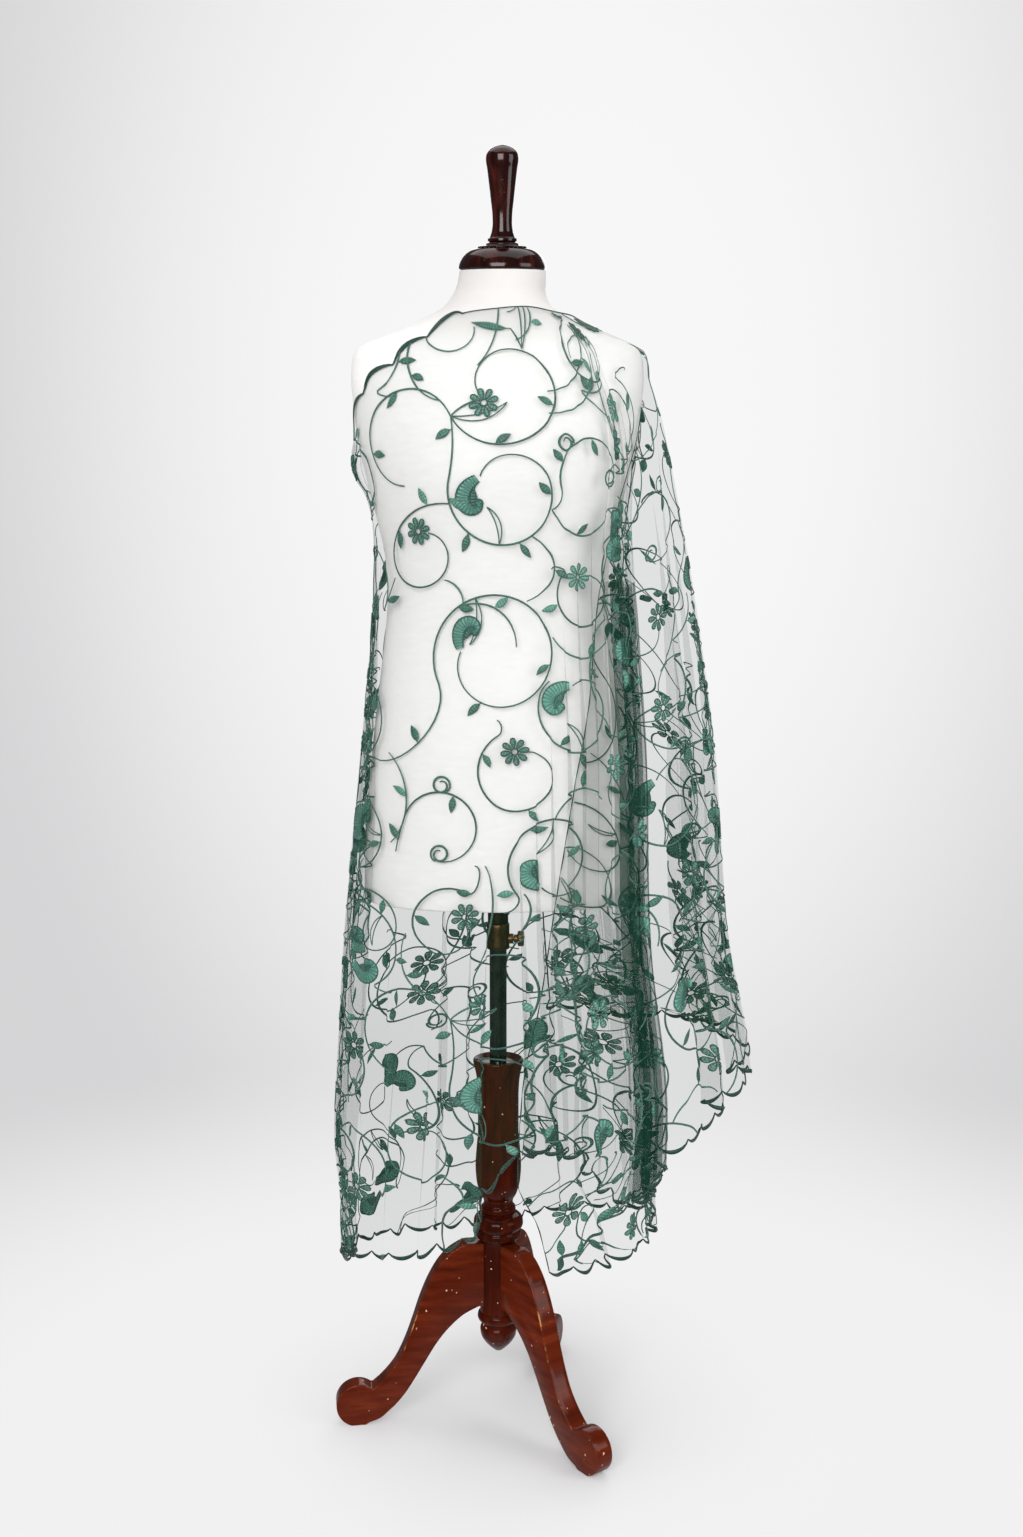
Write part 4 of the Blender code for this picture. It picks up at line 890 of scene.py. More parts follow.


# One repeat of the pattern, charted in millimetres. A scroll's stem runs from its lead point onto
# a circle, turns anticlockwise when its sweep is positive, and closes in to its share of the radius.
# A leaf is a place along the scroll, positive on its left side and negative on its right.
Scroll = namedtuple("Scroll", "s v radius start sweep lead_s lead_v inner ending leaves")
REPEAT = tuple(Scroll(*row) for row in (
    (8, 1262, 62, 209, 335, -46, 1232, 0.42, "flower", (0.19, 0.46)),
    (-98, 1208, 57, 25, 240, -46, 1232, 0.92, "split", (0.34, 0.72)),
    (10, 1148, 59, 165, 340, -46, 1232, 0.5, "paisley", (-0.04, 0.24, -0.36, -0.52, 0.7)),
    (-85, 1082, 42, 125, 300, -47, 1135, 0.55, "flower", (-0.1, 0.3)),
    (115, 1165, 44, 200, -200, 64, 1128, 0.95, "curl", (0.32, -0.62)),
    (0, 962, 71, 205, -395, -152, 842, 0.55, "paisley", (0.12, -0.42, -0.7, 0.88)),
    (-192, 885, 50, 80, -260, -150, 945, 0.6, "flower", (-0.3, -0.62)),
    (30, 832, 48, 120, 310, 4, 891, 0.5, "flower", (0.2, -0.62)),
    (103, 905, 52, 170, 300, 64, 935, 0.5, "paisley", (0.33, -0.45)),
    (-62, 762, 45, 165, -255, -115, 735, 0.8, "curl", (0.06, -0.5)),
    (-182, 748, 47, 100, -260, -208, 800, 0.55, "paisley", (-0.14, -0.5)),
    (75, 720, 57, 215, -330, 16, 668, 0.45, "paisley", (0.1, -0.36, -0.66)),
    (-48, 652, 43, 60, 290, -20, 722, 0.5, "flower", (-0.16, 0.52)),
    (-188, 1040, 50, 330, 300, -125, 1052, 0.5, "flower", (-0.22, 0.55)),
    (190, 1222, 52, 235, 320, 150, 1152, 0.5, "flower", (0.26, -0.58)),
    (188, 1062, 50, 130, 310, 150, 1130, 0.5, "paisley", (-0.18, 0.48)),
    (112, 1034, 38, 140, 300, 66, 1062, 0.55, "flower", (-0.3,)),
    (190, 820, 52, 100, -290, 152, 890, 0.5, "flower", (0.24, -0.58)),
    (140, 628, 50, 95, 300, 108, 676, 0.5, "flower", (-0.22, 0.5)),
    (-150, 640, 46, 210, -300, -195, 600, 0.5, "paisley", (0.3, -0.6)),
    (122, 1300, 40, 250, 290, 150, 1235, 0.6, "split", (0.3, -0.64)),
    (-165, 1310, 52, 300, 300, -120, 1260, 0.5, "paisley", (-0.25, 0.6)),
))
# Links between scrolls: two ends and how far the middle swells to the left, with a leaf's place or 0
Link = namedtuple("Link", "s1 v1 s2 v2 swell leaf")
LINKS = tuple(Link(*row) for row in (
    (42, 1099, 38, 1026, 0.42, 0.5), (-44, 1018, 26, 974, 0.3, 0.45), (-58, 1050, -36, 1022, 0.2, 0),
    (64, 1128, 150, 1130, -0.35, 0.4), (-46, 1232, -8, 1252, 0.1, 0), (60, 1235, 122, 1340, -0.32, 0.45),
    (26, 1322, 40, 1380, -0.25, -0.5), (150, 1130, 188, 1112, 0.2, 0), (68, 985, 152, 985, -0.3, 0.6),
    (-122, 745, -128, 850, -0.22, 0.5), (75, 777, 152, 800, 0.3, 0.55), (-8, 722, -20, 600, 0.15, 0),
    (150, 1010, 152, 890, -0.25, 0.5), (-235, 860, -235, 1000, 0.2, -0.5), (118, 660, 60, 570, 0.25, 0.4),
    (-98, 640, -60, 560, -0.25, 0.5),
))
REPEAT_LENGTH = 400.0
REPEAT_HEIGHT = 690.0


def scroll_path(row):
    t = np.linspace(0, 1, max(12, int(abs(row.sweep) / 7)))
    radius = row.radius * (1 - (1 - row.inner) * np.clip((t - 0.35) / 0.65, 0, 1) ** 1.5)
    ring = np.array([row.s, row.v], float) + polar(row.start + row.sweep * t, radius)
    lead = np.array([row.lead_s, row.lead_v], float)
    heading = (ring[1] - ring[0]) / np.linalg.norm(ring[1] - ring[0])
    chord = ring[0] - lead
    gap = np.linalg.norm(chord)
    if gap < 6:
        return ring
    chord = chord / gap
    leaving = 2 * chord * (chord @ heading) - heading
    joined = bezier(lead, lead + leaving * gap * 0.36, ring[0] - heading * gap * 0.36, ring[0], 14)
    return np.concatenate([joined[:-1], ring])


def at_place(path, place):
    """The point at a share of a path's length, and the path's heading there."""
    length = running_length(path)
    at = abs(place) * length[-1]
    point = along_path(path, length, at)
    k = int(np.clip(np.searchsorted(length, at), 1, len(path) - 1))
    step = path[k] - path[k - 1]
    return point, math.degrees(math.atan2(step[1], step[0]))


def add_leaves(work, path, places, chance):
    for place in places:
        point, heading = at_place(path, place)
        side = 1 if place > 0 else -1
        leaf(work, point, heading + side * chance.uniform(42, 78), chance.uniform(18, 24),
             chance.uniform(7.5, 9.5), chance.choice((0.2, 0.35, 0.75), p=(0.45, 0.35, 0.2)),
             chance.uniform(-35, 35))


def stitch_scroll(work, row, chance):
    path = scroll_path(row)
    work.new_group(False)
    stem(work, path, tint=chance.uniform(0.05, 0.30))
    add_leaves(work, path, row.leaves, chance)
    point, heading = at_place(path, 1.0)
    hand = 1 if row.sweep > 0 else -1
    if row.ending == "flower":
        radius = chance.uniform(15.0, 17.5)
        flower(work, point + polar(heading) * radius * 0.9, radius, chance.uniform(0, 45),
               chance.choice((0.05, 0.2, 0.8), p=(0.45, 0.4, 0.15)))
    elif row.ending == "paisley":
        paisley(work, point, heading, chance.uniform(44, 50), hand, chance.choice((0.1, 0.3, 0.6)))
        point, heading = at_place(path, 0.46)
        split_tendril(work, point, heading + hand * 115, row.radius * 0.75, -hand)
    elif row.ending == "split":
        split_tendril(work, (row.lead_s, row.lead_v), heading + hand * 20, row.radius * 1.1, -hand)
    else:
        curl(work, point, heading, row.radius * 0.30, hand)
        point, heading = at_place(path, 0.45)
        curl(work, point, heading - hand * 25, row.radius * 0.30, -hand)


def shifted(row, ds, dv):
    if isinstance(row, Scroll):
        return row._replace(s=row.s + ds, v=row.v + dv, lead_s=row.lead_s + ds, lead_v=row.lead_v + dv)
    return row._replace(s1=row.s1 + ds, s2=row.s2 + ds, v1=row.v1 + dv, v2=row.v2 + dv)


def stitch_link(work, row, chance):
    a, b = np.array([[row.s1, row.v1], [row.s2, row.v2]], float)
    side = sideways(b - a) * row.swell * 1.3
    path = bezier(a, a + (b - a) * 0.25 + side, a + (b - a) * 0.75 + side, b, 18)
    work.new_group(False)
    stem(work, path, 1.05, chance.uniform(0.15, 0.4))
    if row.leaf:
        add_leaves(work, path, (row.leaf,), chance)


def stitch_neckline(work):
    """The long leaf that follows the neckline, and the two stems beside it."""
    leaf(work, (20, 1337), 176, 52, 9.0, 0.35, -16)
    work.new_group(False)
    stem(work, bezier((20, 1337), (26, 1330), (30, 1322), (33, 1310), 12), 1.0, 0.1)
    for near, far in ((24, 31), (31, 39)):
        work.new_group(False)
        stem(work, bezier((near, 1400), (far + 3, 1375), (far + 4, 1345), (33, 1310), 16), 0.9, 0.15)


def stitch_corner(work, chance):
    """The heavy diagonal vine and the sprigs above the hem beside the first short end."""
    work.new_group(False)
    vine = bezier((-1268, 247), (-1215, 262), (-1160, 296), (-1096, 338), 18)
    stem(work, vine, 1.7, 0.05)
    add_leaves(work, vine, (0.22, -0.42, 0.60, -0.78, 0.90), chance)
    flower(work, (-1124, 280), 14.0, 12, 0.7)
    for path in (
        bezier((-1188, 338), (-1222, 318), (-1226, 284), (-1176, 270), 16),
        bezier((-1150, 345), (-1172, 330), (-1160, 312), (-1148, 306), 12),
        bezier((-1072, 330), (-1090, 312), (-1066, 292), (-1052, 268), 14),
    ):
        work.new_group(False)
        stem(work, path, 1.0, 0.1)
        add_leaves(work, path, (0.35, -0.70), chance)


def stitch_pattern():
    work = Stitching()
    chance = np.random.default_rng(PATTERN_SEED)
    low, high = (int(s * 1000 // REPEAT_LENGTH) for s in (cloth.chart_s.min(), cloth.chart_s.max()))
    for across in range(low, high + 2):
        for down in range(-2, 2):
            ds = across * REPEAT_LENGTH
            dv = down * REPEAT_HEIGHT + (across % 2) * REPEAT_HEIGHT / 2
            for row in REPEAT:
                stitch_scroll(work, shifted(row, ds, dv), chance)
            for row in LINKS:
                stitch_link(work, shifted(row, ds, dv), chance)
    stitch_neckline(work)
    stitch_corner(work, chance)
    return work


def add_embroidery():
    """One mesh of stitching for each stretch of the net."""
    points, quads, maps, tints, groups, column = stitch_pattern().lay()
    middle = np.zeros(groups.max() + 1)
    np.maximum.at(middle, groups, column)
    owner = middle[groups[quads[:, 0]]]
    made = []
    for stretch, (_, (first, last), _) in zip(STRETCHES, nets):
        low = -1 if stretch is STRETCHES[0] else first
        high = np.inf if stretch is STRETCHES[-1] else last
        used, index = np.unique(quads[(owner > low) & (owner <= high)], return_inverse=True)
        obj = mesh_object("embroidery_" + stretch.name, points[used], index.reshape(-1, 4), [THREAD])
        add_uv(obj, maps[used])
        add_tints(obj, tints[used])
        made.append(belongs(obj, "form"))
    return made


embroidery = add_embroidery()

# ---- The borders ----

BORDER_STEPS = 4
END_BORDER_STEPS = 6
BAND_SIDES = 8
BORDER_TINT = 0.15


def add_band(name, row, column, inward, width_at, thickness):
    """A satin band along an edge of the net: a flattened tube whose half width follows the scallops."""
    row, column = np.broadcast_arrays(np.asarray(row, float), np.asarray(column, float))
    edge = cloth.sample(cloth.points, row, column)
    inside = cloth.sample(cloth.points, row + inward[0], column + inward[1]) - edge
    length = running_length(edge)
    half_width = width_at(column, length)[:, None]
    along = np.gradient(edge, axis=0)
    along /= np.linalg.norm(along, axis=1, keepdims=True)
    inside -= along * (inside * along).sum(axis=1, keepdims=True)
    inside /= np.maximum(np.linalg.norm(inside, axis=1, keepdims=True), 1e-9)
    across = half_width * polar(around(BAND_SIDES))[:, 0]
    rings = (edge + inside * half_width * 0.8)[:, None] + inside[:, None] * across[..., None]
    rings += np.cross(along, inside)[:, None] * thickness * polar(around(BAND_SIDES))[None, :, 1:]
    obj = mesh_object(name, rings, grid_quads(len(edge), BAND_SIDES, True), [BORDER_THREAD])
    add_uv(obj, np.stack([np.repeat(length, BAND_SIDES), across.ravel()], axis=1))
    add_tints(obj, np.full(len(edge) * BAND_SIDES, BORDER_TINT))
    return belongs(obj, "form")


def at_column(column, values):
    return np.interp(column, np.arange(len(cloth.columns)), values)


def hem_width(column, length):
    return 0.0008 + 0.0017 * np.abs(np.sin(np.pi * at_column(column, cloth.hem_phase)))


def top_width(column, length):
    angle = at_column(column, cloth.columns)
    scalloped = ramp(NECKLINE_SCALLOPS[0] - 4, NECKLINE_SCALLOPS[0], angle)
    scalloped = scalloped * ramp(NECKLINE_SCALLOPS[1] + 3, NECKLINE_SCALLOPS[1], angle)
    return 0.0006 + scalloped * (0.0004 + 0.0021 * np.interp(angle, cloth.neck_angles, cloth.neck_lobes))


def end_width(width):
    return lambda column, length: width * (0.45 + 0.9 * np.abs(np.sin(np.pi * length / SCALLOP_WIDTH)))


def add_borders():
    made = []
    for stretch, (_, (first, last), _) in zip(STRETCHES, nets):
        columns = np.linspace(first, last, (last - first) * BORDER_STEPS + 1)
        made.append(add_band("border_" + stretch.name, CLOTH_ROWS - 1, columns, (-1, 0), hem_width, 0.0009))
        made.append(add_band("top_border_" + stretch.name, 0, columns, (1, 0), top_width, 0.0008))
    rows = np.linspace(0, CLOTH_ROWS - 1, CLOTH_ROWS * END_BORDER_STEPS)
    made.append(add_band("end_border_inner", rows, 0, (0, 2), end_width(0.0006), 0.0005))
    made.append(add_band("end_border_outer", rows, len(cloth.columns) - 1, (0, -2), end_width(0.0013), 0.0009))
    return made


borders = add_borders()

# ---- Each stretch's embroidery and borders, listed together; the lists are not used further ----

for stretch, (net, _, length), motifs in zip(STRETCHES, nets, embroidery):
    mine = [motifs] + [border for border in borders if border.name.endswith(stretch.name)]
    if stretch is STRETCHES[0]:
        mine.append(bpy.data.objects["end_border_inner"])
    if stretch is STRETCHES[-1]:
        mine.append(bpy.data.objects["end_border_outer"])

# ---- The form ----

FORM_SEGMENTS = 144
FORM_EDGE_ROUND = 0.003
FORM_UNDER_RING = 0.060
# highest and lowest ring, and their count
FORM_ROWS = ((1.410, 1.30, 60), (1.297, FORM_BOTTOM + 0.008, 110))
BORE_RADIUS = 0.0108
BORE_TOP = 0.915


def circle(radius, height, segments):
    return np.concatenate([polar(around(segments), radius), np.full((segments, 1), height)], axis=1)


def form_points():
    angles = around(FORM_SEGMENTS)

    def ring(height, inset=0.0, tilt_share=0.0):
        flat = polar(angles, body_radius(angles, height) - inset)
        rise = tilt_share * math.tan(math.radians(NECK_TILT)) * flat[:, 1]
        return np.stack([flat[:, 0] + NECK_SIDE_SHIFT * tilt_share, flat[:, 1], height + rise], axis=1)

    neck = ring(NECK_TOP, tilt_share=1.0)
    middle = np.array([NECK_SIDE_SHIFT, 0, NECK_TOP])
    rings = [middle + (neck - middle) * share for share in (0.02, 0.5, 0.97)] + [neck]
    for height in np.concatenate([np.linspace(*rows) for rows in FORM_ROWS]):
        rings.append(ring(height, tilt_share=float(ramp(TILT_STARTS, NECK_TOP, height))))
    for inward, up in FORM_EDGE_ROUND * (1 - polar(np.linspace(0, 90, 5))):
        rings.append(ring(FORM_BOTTOM + up, inward))
    rings += [circle(radius, height, FORM_SEGMENTS) for radius, height in (
        (FORM_UNDER_RING, FORM_BOTTOM), (BORE_RADIUS + 0.001, FORM_BOTTOM), (BORE_RADIUS, FORM_BOTTOM + 0.001),
        (BORE_RADIUS, BORE_TOP),
    )]
    return np.stack(rings)


def add_rigid(name, node, body, parts, material, sharp=42):
    """A piece of closed rings of points, in one or more parts."""
    quads, count = [], 0
    for rings in parts:
        quads.append(grid_quads(rings.shape[0], rings.shape[1], True)[:, ::-1] + count)
        count += rings.shape[0] * rings.shape[1]
    points = np.concatenate([rings.reshape(-1, 3) for rings in parts])
    obj = mesh_object(name, points, np.concatenate(quads), [material])
    obj.data.set_sharp_from_angle(angle=math.radians(sharp))
    return belongs(obj, body, node)


add_rigid("canvas_form", "form_body", "form", [form_points()], CANVAS, 40)

# ---- Turned pieces: (radius, height) from the top down the outer side ----

NECK_CAP = (
    (0.029, 1.4357), (0.0345, 1.4347), (0.0415, 1.431), (0.0475, 1.4245), (0.0507, 1.418), (0.0514, 1.414),
    (0.0502, 1.4122), (0.0478, 1.4113),
)
NECK_HANDLE = (
    (0.001, 1.55), (0.006, 1.5489), (0.0118, 1.5466), (0.0162, 1.5431), (0.0187, 1.5388), (0.0192, 1.5342),
    (0.0177, 1.524), (0.0157, 1.508), (0.0136, 1.49), (0.0118, 1.474), (0.0115, 1.464), (0.0126, 1.455),
    (0.0142, 1.45), (0.015, 1.448), (0.0172, 1.4465), (0.0172, 1.444), (0.0152, 1.4428), (0.019, 1.4412),
    (0.0196, 1.4395), (0.023, 1.4385), (0.0285, 1.4378), (0.0292, 1.4368), (0.0285, 1.436),
)
COLUMN = (
    (0.0108, 0.456), (0.02, 0.457), (0.027, 0.4605), (0.0295, 0.4612), (0.031, 0.459), (0.0306, 0.455),
    (0.028, 0.444), (0.0262, 0.432), (0.0253, 0.414), (0.0253, 0.369), (0.027, 0.348), (0.0285, 0.324),
    (0.0272, 0.305), (0.023, 0.289), (0.0182, 0.279), (0.0182, 0.275), (0.0212, 0.2715), (0.0216, 0.2675),
    (0.02, 0.264), (0.0262, 0.261), (0.0304, 0.2555), (0.031, 0.25), (0.029, 0.2445), (0.0265, 0.2425),
    (0.0282, 0.2395), (0.028, 0.2345), (0.0255, 0.231), (0.023, 0.229), (0.023, 0.1358),
)
DROP_FINIAL = (
    (0.0225, 0.1355), (0.0255, 0.1325), (0.0262, 0.1285), (0.025, 0.1245), (0.0205, 0.1218), (0.0212, 0.118),
    (0.023, 0.112), (0.0222, 0.105), (0.018, 0.0965), (0.011, 0.0885), (0.0055, 0.0835),
)
THUMB_SCREW = (
    (0.0025, 0.0108), (0.0025, 0.0194), (0.0048, 0.0194), (0.0052, 0.0235), (0.009, 0.0245), (0.0096, 0.0265),
    (0.0096, 0.03), (0.0085, 0.0318),
)
POLE_RADIUS = 0.0105
POLE_TOP = 0.825
POLE_FOOT = 0.440
SOCKET_RADIUS = 0.0125
SOCKET_BOTTOM = 0.632
COLLAR_RADIUS = 0.0140
COLLAR_BOTTOM = 0.600
FIT_GAP = 0.0003
BOSS_RADIUS = 0.0062
BOSS_END = 0.0190
SCREW_HEIGHT = 0.612
SCREW_FLUTES = 20
FLUTE_DEPTH = 0.00045
# a turned end closes to this radius
CLOSED_RADIUS = 0.0002


def turned(outline, segments, per_step=5, closed=True):
    """Rings of a turned piece, with the outline rounded between its points."""
    outline = np.asarray(outline, float)
    length = running_length(outline)
    fine = np.unique(np.concatenate([np.linspace(a, b, per_step + 1) for a, b in zip(length[:-1], length[1:])]))
    radius, height = (smooth_curve(length, outline[:, k], fine) for k in (0, 1))
    if closed:
        radius = np.concatenate([[CLOSED_RADIUS], radius, [CLOSED_RADIUS]])
        height = np.concatenate([height[:1], height, height[-1:]])
    flat = polar(around(segments), radius[:, None])
    return np.concatenate([flat, np.broadcast_to(height[:, None, None], (len(radius), segments, 1))], axis=-1)


def tilted(points):
    """Leans the neck's top and what stands on it forward, about the neck's middle."""
    pivot = np.array([0, 0, NECK_TOP])
    local = points - pivot
    lean = np.radians(NECK_TILT)
    y = local[..., 1] * np.cos(lean) - local[..., 2] * np.sin(lean)
    z = local[..., 1] * np.sin(lean) + local[..., 2] * np.cos(lean)
    return np.stack([local[..., 0] + NECK_SIDE_SHIFT, y, z], axis=-1) + pivot


def along_x(points, height):
    """Turns a shape made about +Z so that its axis runs along +X at the given height."""
    return np.stack([points[..., 2], points[..., 1], height - points[..., 0]], axis=-1)


def sleeve(inner, outer, low, high, rounding):
    """A tube with rounded rims."""
    return (
        (inner, high - rounding), (inner + rounding, high), (outer - rounding, high), (outer, high - rounding),
        (outer, (high + low) / 2), (outer, low + rounding), (outer - rounding, low), (inner + rounding, low),
        (inner, low + rounding),
    )


def add_turned_pieces():
    pole = ((POLE_RADIUS, POLE_TOP), (POLE_RADIUS, 0.70), (POLE_RADIUS, 0.57), (POLE_RADIUS, POLE_FOOT))
    for name, node, body, points, material, slot in (
        ("turned_cap", "neck_cap", "form", tilted(turned(NECK_CAP, 96)), DARK_WOOD, "dark_wood"),
        ("turned_handle", "neck_handle", "form", tilted(turned(NECK_HANDLE, 80)), DARK_WOOD, "dark_wood"),
        ("turned_column", "column", "stand", turned(COLUMN, 96), RED_WOOD, "red_wood"),
        ("turned_drop", "drop_finial", "stand", turned(DROP_FINIAL, 96), RED_WOOD, "red_wood"),
        ("chrome_pole", "steel_pole", "stand", turned(pole, 64), STEEL, "steel"),
    ):
        add_rigid(name, node, body, [points], material)
    socket = sleeve(BORE_RADIUS, SOCKET_RADIUS, SOCKET_BOTTOM, FORM_BOTTOM - FIT_GAP, 0.0004)
    add_rigid("socket_sleeve", "socket_tube", "form", [turned(socket, 64, 3, False)], DARK_METAL)
    collar = sleeve(BORE_RADIUS, COLLAR_RADIUS, COLLAR_BOTTOM, SOCKET_BOTTOM - FIT_GAP, 0.0007)
    boss = (
        (0.0030, BOSS_END - 0.0008), (0.0034, BOSS_END), (BOSS_RADIUS - 0.0006, BOSS_END),
        (BOSS_RADIUS, BOSS_END - 0.0006), (BOSS_RADIUS, COLLAR_RADIUS - 0.0020),
    )
    parts = [turned(collar, 64, 3, False), along_x(turned(boss, 40, 3, False), SCREW_HEIGHT)]
    add_rigid("bronze_collar", "clamp_collar", "form", parts, BRONZE)
    screw = turned(THUMB_SCREW, 120, 4)
    radius = np.hypot(screw[..., 0], screw[..., 1])
    turn = np.arctan2(screw[..., 1], screw[..., 0])
    fluted = ramp(0.0084, 0.0095, radius) * FLUTE_DEPTH * (np.cos(SCREW_FLUTES * turn) - 1) / 2
    screw[..., :2] *= (1 + fluted / np.maximum(radius, 1e-6))[..., None]
    add_rigid("bronze_screw", "thumb_screw", "clamp_screw", [along_x(screw, SCREW_HEIGHT)], BRONZE)


add_turned_pieces()

# ---- The legs ----

LEG_ANGLES = {"leg_left": 188.0, "leg_front": 308.0, "leg_back": 68.0}
LEG_THICKNESS = 0.024
LEG_CHAMFER = 0.0013
LEG_SEAT_RADIUS = 0.0236
LEG_SEAT_SINK = 0.0002
FOOT_REACH = 0.178
FOOT_RADIUS = 0.0270
FOOT_CENTRE_HEIGHT = 0.0257
FOOT_ARC = (128.0, -72.0)
HEEL_SETBACK = 0.0095
# distance from the axis and height
LEG_TOP_EDGE = (
    (LEG_SEAT_RADIUS, 0.227), (0.04, 0.2275), (0.058, 0.22), (0.074, 0.205), (0.088, 0.182),
    (0.099, 0.156), (0.108, 0.129), (0.118, 0.102), (0.131, 0.076), (0.147, 0.057), (0.1585, 0.047),
)
LEG_UNDER_EDGE = (
    (0.164, 0.003), (0.152, 0.007), (0.137, 0.0185), (0.12, 0.037), (0.106, 0.058), (0.092, 0.081),
    (0.078, 0.103), (0.062, 0.122), (0.044, 0.137), (LEG_SEAT_RADIUS, 0.147),
)


def leg_outline():
    """The plank's outline, closed: top edge out to the foot, round the scroll, and back underneath."""
    def along(edge, count):
        edge = np.asarray(edge)
        at = np.linspace(0, len(edge) - 1, count)
        return np.stack([smooth_curve(np.arange(len(edge)), edge[:, k], at) for k in (0, 1)], axis=1)

    foot = np.array([FOOT_REACH, FOOT_CENTRE_HEIGHT]) + polar(np.linspace(*FOOT_ARC, 44), FOOT_RADIUS)
    foot[:, 1] = np.maximum(foot[:, 1], 0.0)
    heel = np.array([[FOOT_REACH - HEEL_SETBACK, 0.0]])
    return np.concatenate([along(LEG_TOP_EDGE, 56), foot, heel, along(LEG_UNDER_EDGE, 52)])


def inset(outline, distance):
    """The outline moved inward, without letting it cross itself by much."""
    def unit(v):
        return v / np.maximum(np.linalg.norm(v, axis=1, keepdims=True), 1e-9)

    following, before = np.roll(outline, -1, axis=0) - outline, outline - np.roll(outline, 1, axis=0)
    return outline - sideways(unit(unit(following) + unit(before))) * distance


def add_leg(node, degrees):
    """The outline swept across the plank's thickness with rounded edges, and its two flat sides."""
    outline = leg_outline()
    half = LEG_THICKNESS / 2
    layers = [(-half, LEG_CHAMFER), (-half + LEG_CHAMFER * 0.3, LEG_CHAMFER * 0.3), (-half + LEG_CHAMFER, 0.0)]
    layers += [(across, 0.0) for across in (-half / 2, 0.0, half / 2)]
    layers += [(-across, depth) for across, depth in reversed(layers[:3])]
    seat = outline[:, 0] <= LEG_SEAT_RADIUS + 1e-9
    rings = []
    for across, depth in layers:
        moved = inset(outline, depth)
        reach = np.where(seat, math.sqrt(LEG_SEAT_RADIUS**2 - across**2) - LEG_SEAT_SINK, moved[:, 0])
        rings.append(np.stack([reach, np.full(len(reach), across), np.maximum(moved[:, 1], 0.0)], axis=1))
    width = len(outline)
    quads = grid_quads(len(rings), width, True)
    side = np.array(tessellate_polygon([[Vector((x, y, 0.0)) for x, y in rings[0][:, [0, 2]]]]))
    triangles = np.concatenate([side, side[:, ::-1] + (len(rings) - 1) * width])
    points = np.concatenate(rings)
    flat = points[:, :1] * polar(degrees) + points[:, 1:2] * polar(degrees + 90)
    placed = np.column_stack([flat, points[:, 2]])
    obj = mesh_object("carved_" + node, placed, quads, [LEG_WOOD, EDGE_WOOD], triangles)
    obj.data.set_sharp_from_angle(angle=math.radians(50))
    slots = np.zeros(len(quads) + len(triangles), np.int32)
    slots[:len(quads)][np.isin(np.arange(len(quads)) // width, (0, 1, len(rings) - 3, len(rings) - 2))] = 1
    obj.data.polygons.foreach_set("material_index", slots)
    add_uv(obj, points[:, [0, 2]])
    belongs(obj, "stand", node)


for node, degrees in LEG_ANGLES.items():
    add_leg(node, degrees)

# ---- Floor, light and camera ----

FLOOR_RINGS = (0.001, 0.5, 1.0, 2.0, 6.0)
FLOOR_SEGMENTS = 96
FLOOR_LOWERED = 0.0002


def add_floor():
    """A pale pool of floor about the object, which fades into the backdrop further out."""
    finish = Finish("studio_floor", 0.75, Specular_IOR_Level=0.15)
    finish.shader.inputs["Base Color"].default_value = (0.69, 0.687, 0.693, 1)
    length = finish.made("ShaderNodeVectorMath", {0: finish.coordinates}, "Value", operation="LENGTH")
    reflected = finish.node("ShaderNodeLightPath").outputs["Is Glossy Ray"]
    tone = finish.mix(reflected, (0.885, 0.88, 0.888), (0.12, 0.12, 0.12))
    glow = finish.made("ShaderNodeEmission", {"Color": tone}, "Emission")
    clear = finish.node("ShaderNodeBsdfTransparent").outputs["BSDF"]
    near, far = (finish.spread(length, 0.0, 1.0, *reach, "SMOOTHSTEP") for reach in ((0.06, 0.46), (0.60, 1.70)))
    pool = finish.mix_shaders(near, finish.shader.outputs["BSDF"], glow)
    finish.link(finish.mix_shaders(far, pool, clear), finish.tree.nodes["Material Output"].inputs["Surface"])
    rings = np.stack([circle(radius, -FLOOR_LOWERED, FLOOR_SEGMENTS) for radius in FLOOR_RINGS])
    mesh_object("floor", rings, grid_quads(len(rings), FLOOR_SEGMENTS, True), [finish.material])


def add_light(name, place, target, size, energy):
    light = bpy.data.lights.new(name, "AREA")
    light.shape = "RECTANGLE"
    light.size, light.size_y = size
    light.energy = energy
    obj = bpy.data.objects.new(name, light)
    obj.location = Vector(place) + Vector(AXIS)
    obj.rotation_euler = (Vector(target) - Vector(place)).to_track_quat("-Z", "Y").to_euler()
    bpy.context.scene.collection.objects.link(obj)


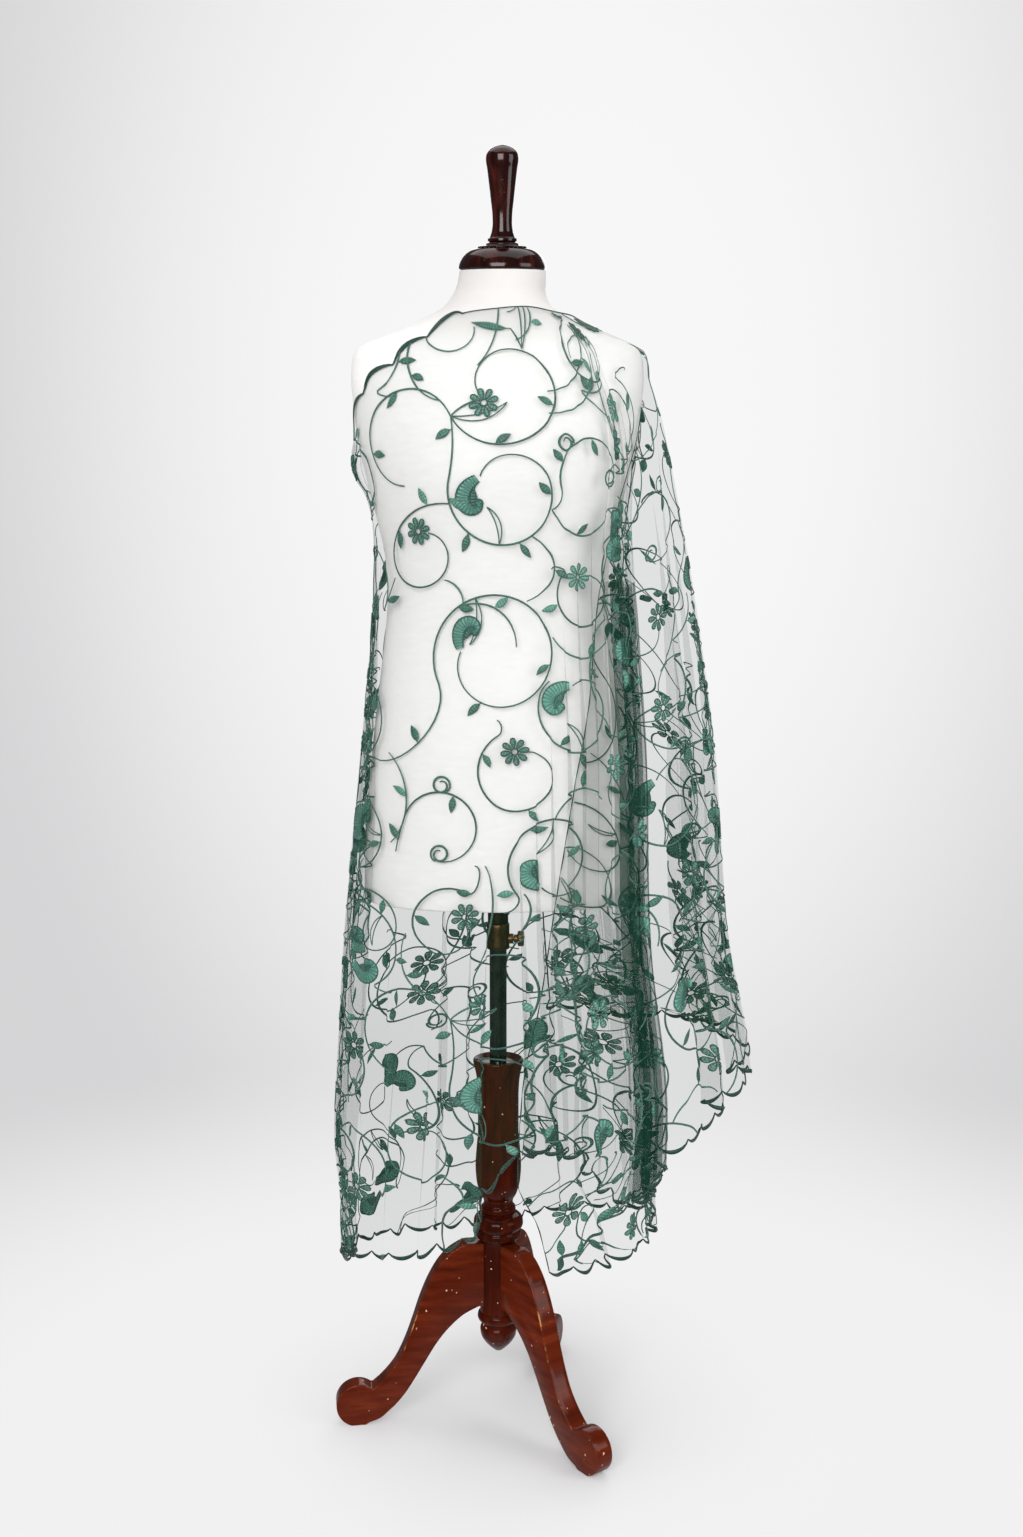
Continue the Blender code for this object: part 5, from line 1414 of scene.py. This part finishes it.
def add_world():
    """Pale backdrop, brightest behind the object, soft light on matt surfaces and darker reflections."""
    world = bpy.data.worlds.new("studio")
    bpy.context.scene.world = world
    world.use_nodes = True
    sky = Nodes(world.node_tree, "Generated")
    path = sky.node("ShaderNodeLightPath").outputs
    wide, tall = 2.9, 1.9
    offset = sky.stretched((wide, 0.0, tall), location=(-0.035 * wide, 0.0, -0.10 * tall))
    away = sky.made("ShaderNodeVectorMath", {0: offset, 1: offset}, "Value", operation="DOT_PRODUCT")
    behind = sky.spread(sky.parts("Y"), 0.0, 1.0, 0.85, -0.2, "SMOOTHSTEP")
    edge = sky.spread(sky.maths("ADD", away, behind), 0.0, 1.0, 0.0, 1.15, "SMOOTHSTEP")
    backdrop = sky.mix(edge, (0.935, 0.93, 0.94), (0.665, 0.665, 0.675))
    surroundings = sky.mix(path["Is Diffuse Ray"], (0.10, 0.10, 0.10), (0.58, 0.58, 0.585))
    shown = sky.mix(path["Is Camera Ray"], surroundings, backdrop)
    sky.link(shown, sky.tree.nodes["Background"].inputs["Color"])


CAMERA_PLACE = (0.0165, -1.992, 1.050)
CAMERA_PITCH = 6.517
CAMERA_FOCUS = 1650.0
PHOTO_HEIGHT = 1537
SENSOR_HEIGHT = 36.0


def add_camera():
    camera = bpy.data.cameras.new("camera")
    camera.sensor_fit = "VERTICAL"
    camera.sensor_height = SENSOR_HEIGHT
    camera.lens = SENSOR_HEIGHT * CAMERA_FOCUS / PHOTO_HEIGHT
    obj = bpy.data.objects.new("camera", camera)
    obj.location = Vector(CAMERA_PLACE) + Vector(AXIS)
    obj.rotation_euler = (math.radians(90 - CAMERA_PITCH), 0, 0)
    bpy.context.scene.collection.objects.link(obj)
    bpy.context.scene.camera = obj


add_floor()
add_light("key", (-0.6, -2.8, 1.75), (0, 0, 0.90), (1.8, 1.8), 80)
add_light("fill", (2.4, -1.2, 1.6), (0, 0, 0.9), (1.4, 1.8), 29)
add_light("top", (0.0, 0.3, 3.2), (0, 0, 0.5), (2.6, 2.6), 30)
add_light("back", (0.6, 2.4, 1.8), (0, 0, 0.9), (1.8, 1.4), 18)
add_world()
add_camera()
bpy.context.scene.view_settings.view_transform = "Standard"
bpy.context.scene.cycles.transparent_max_bounces = 40
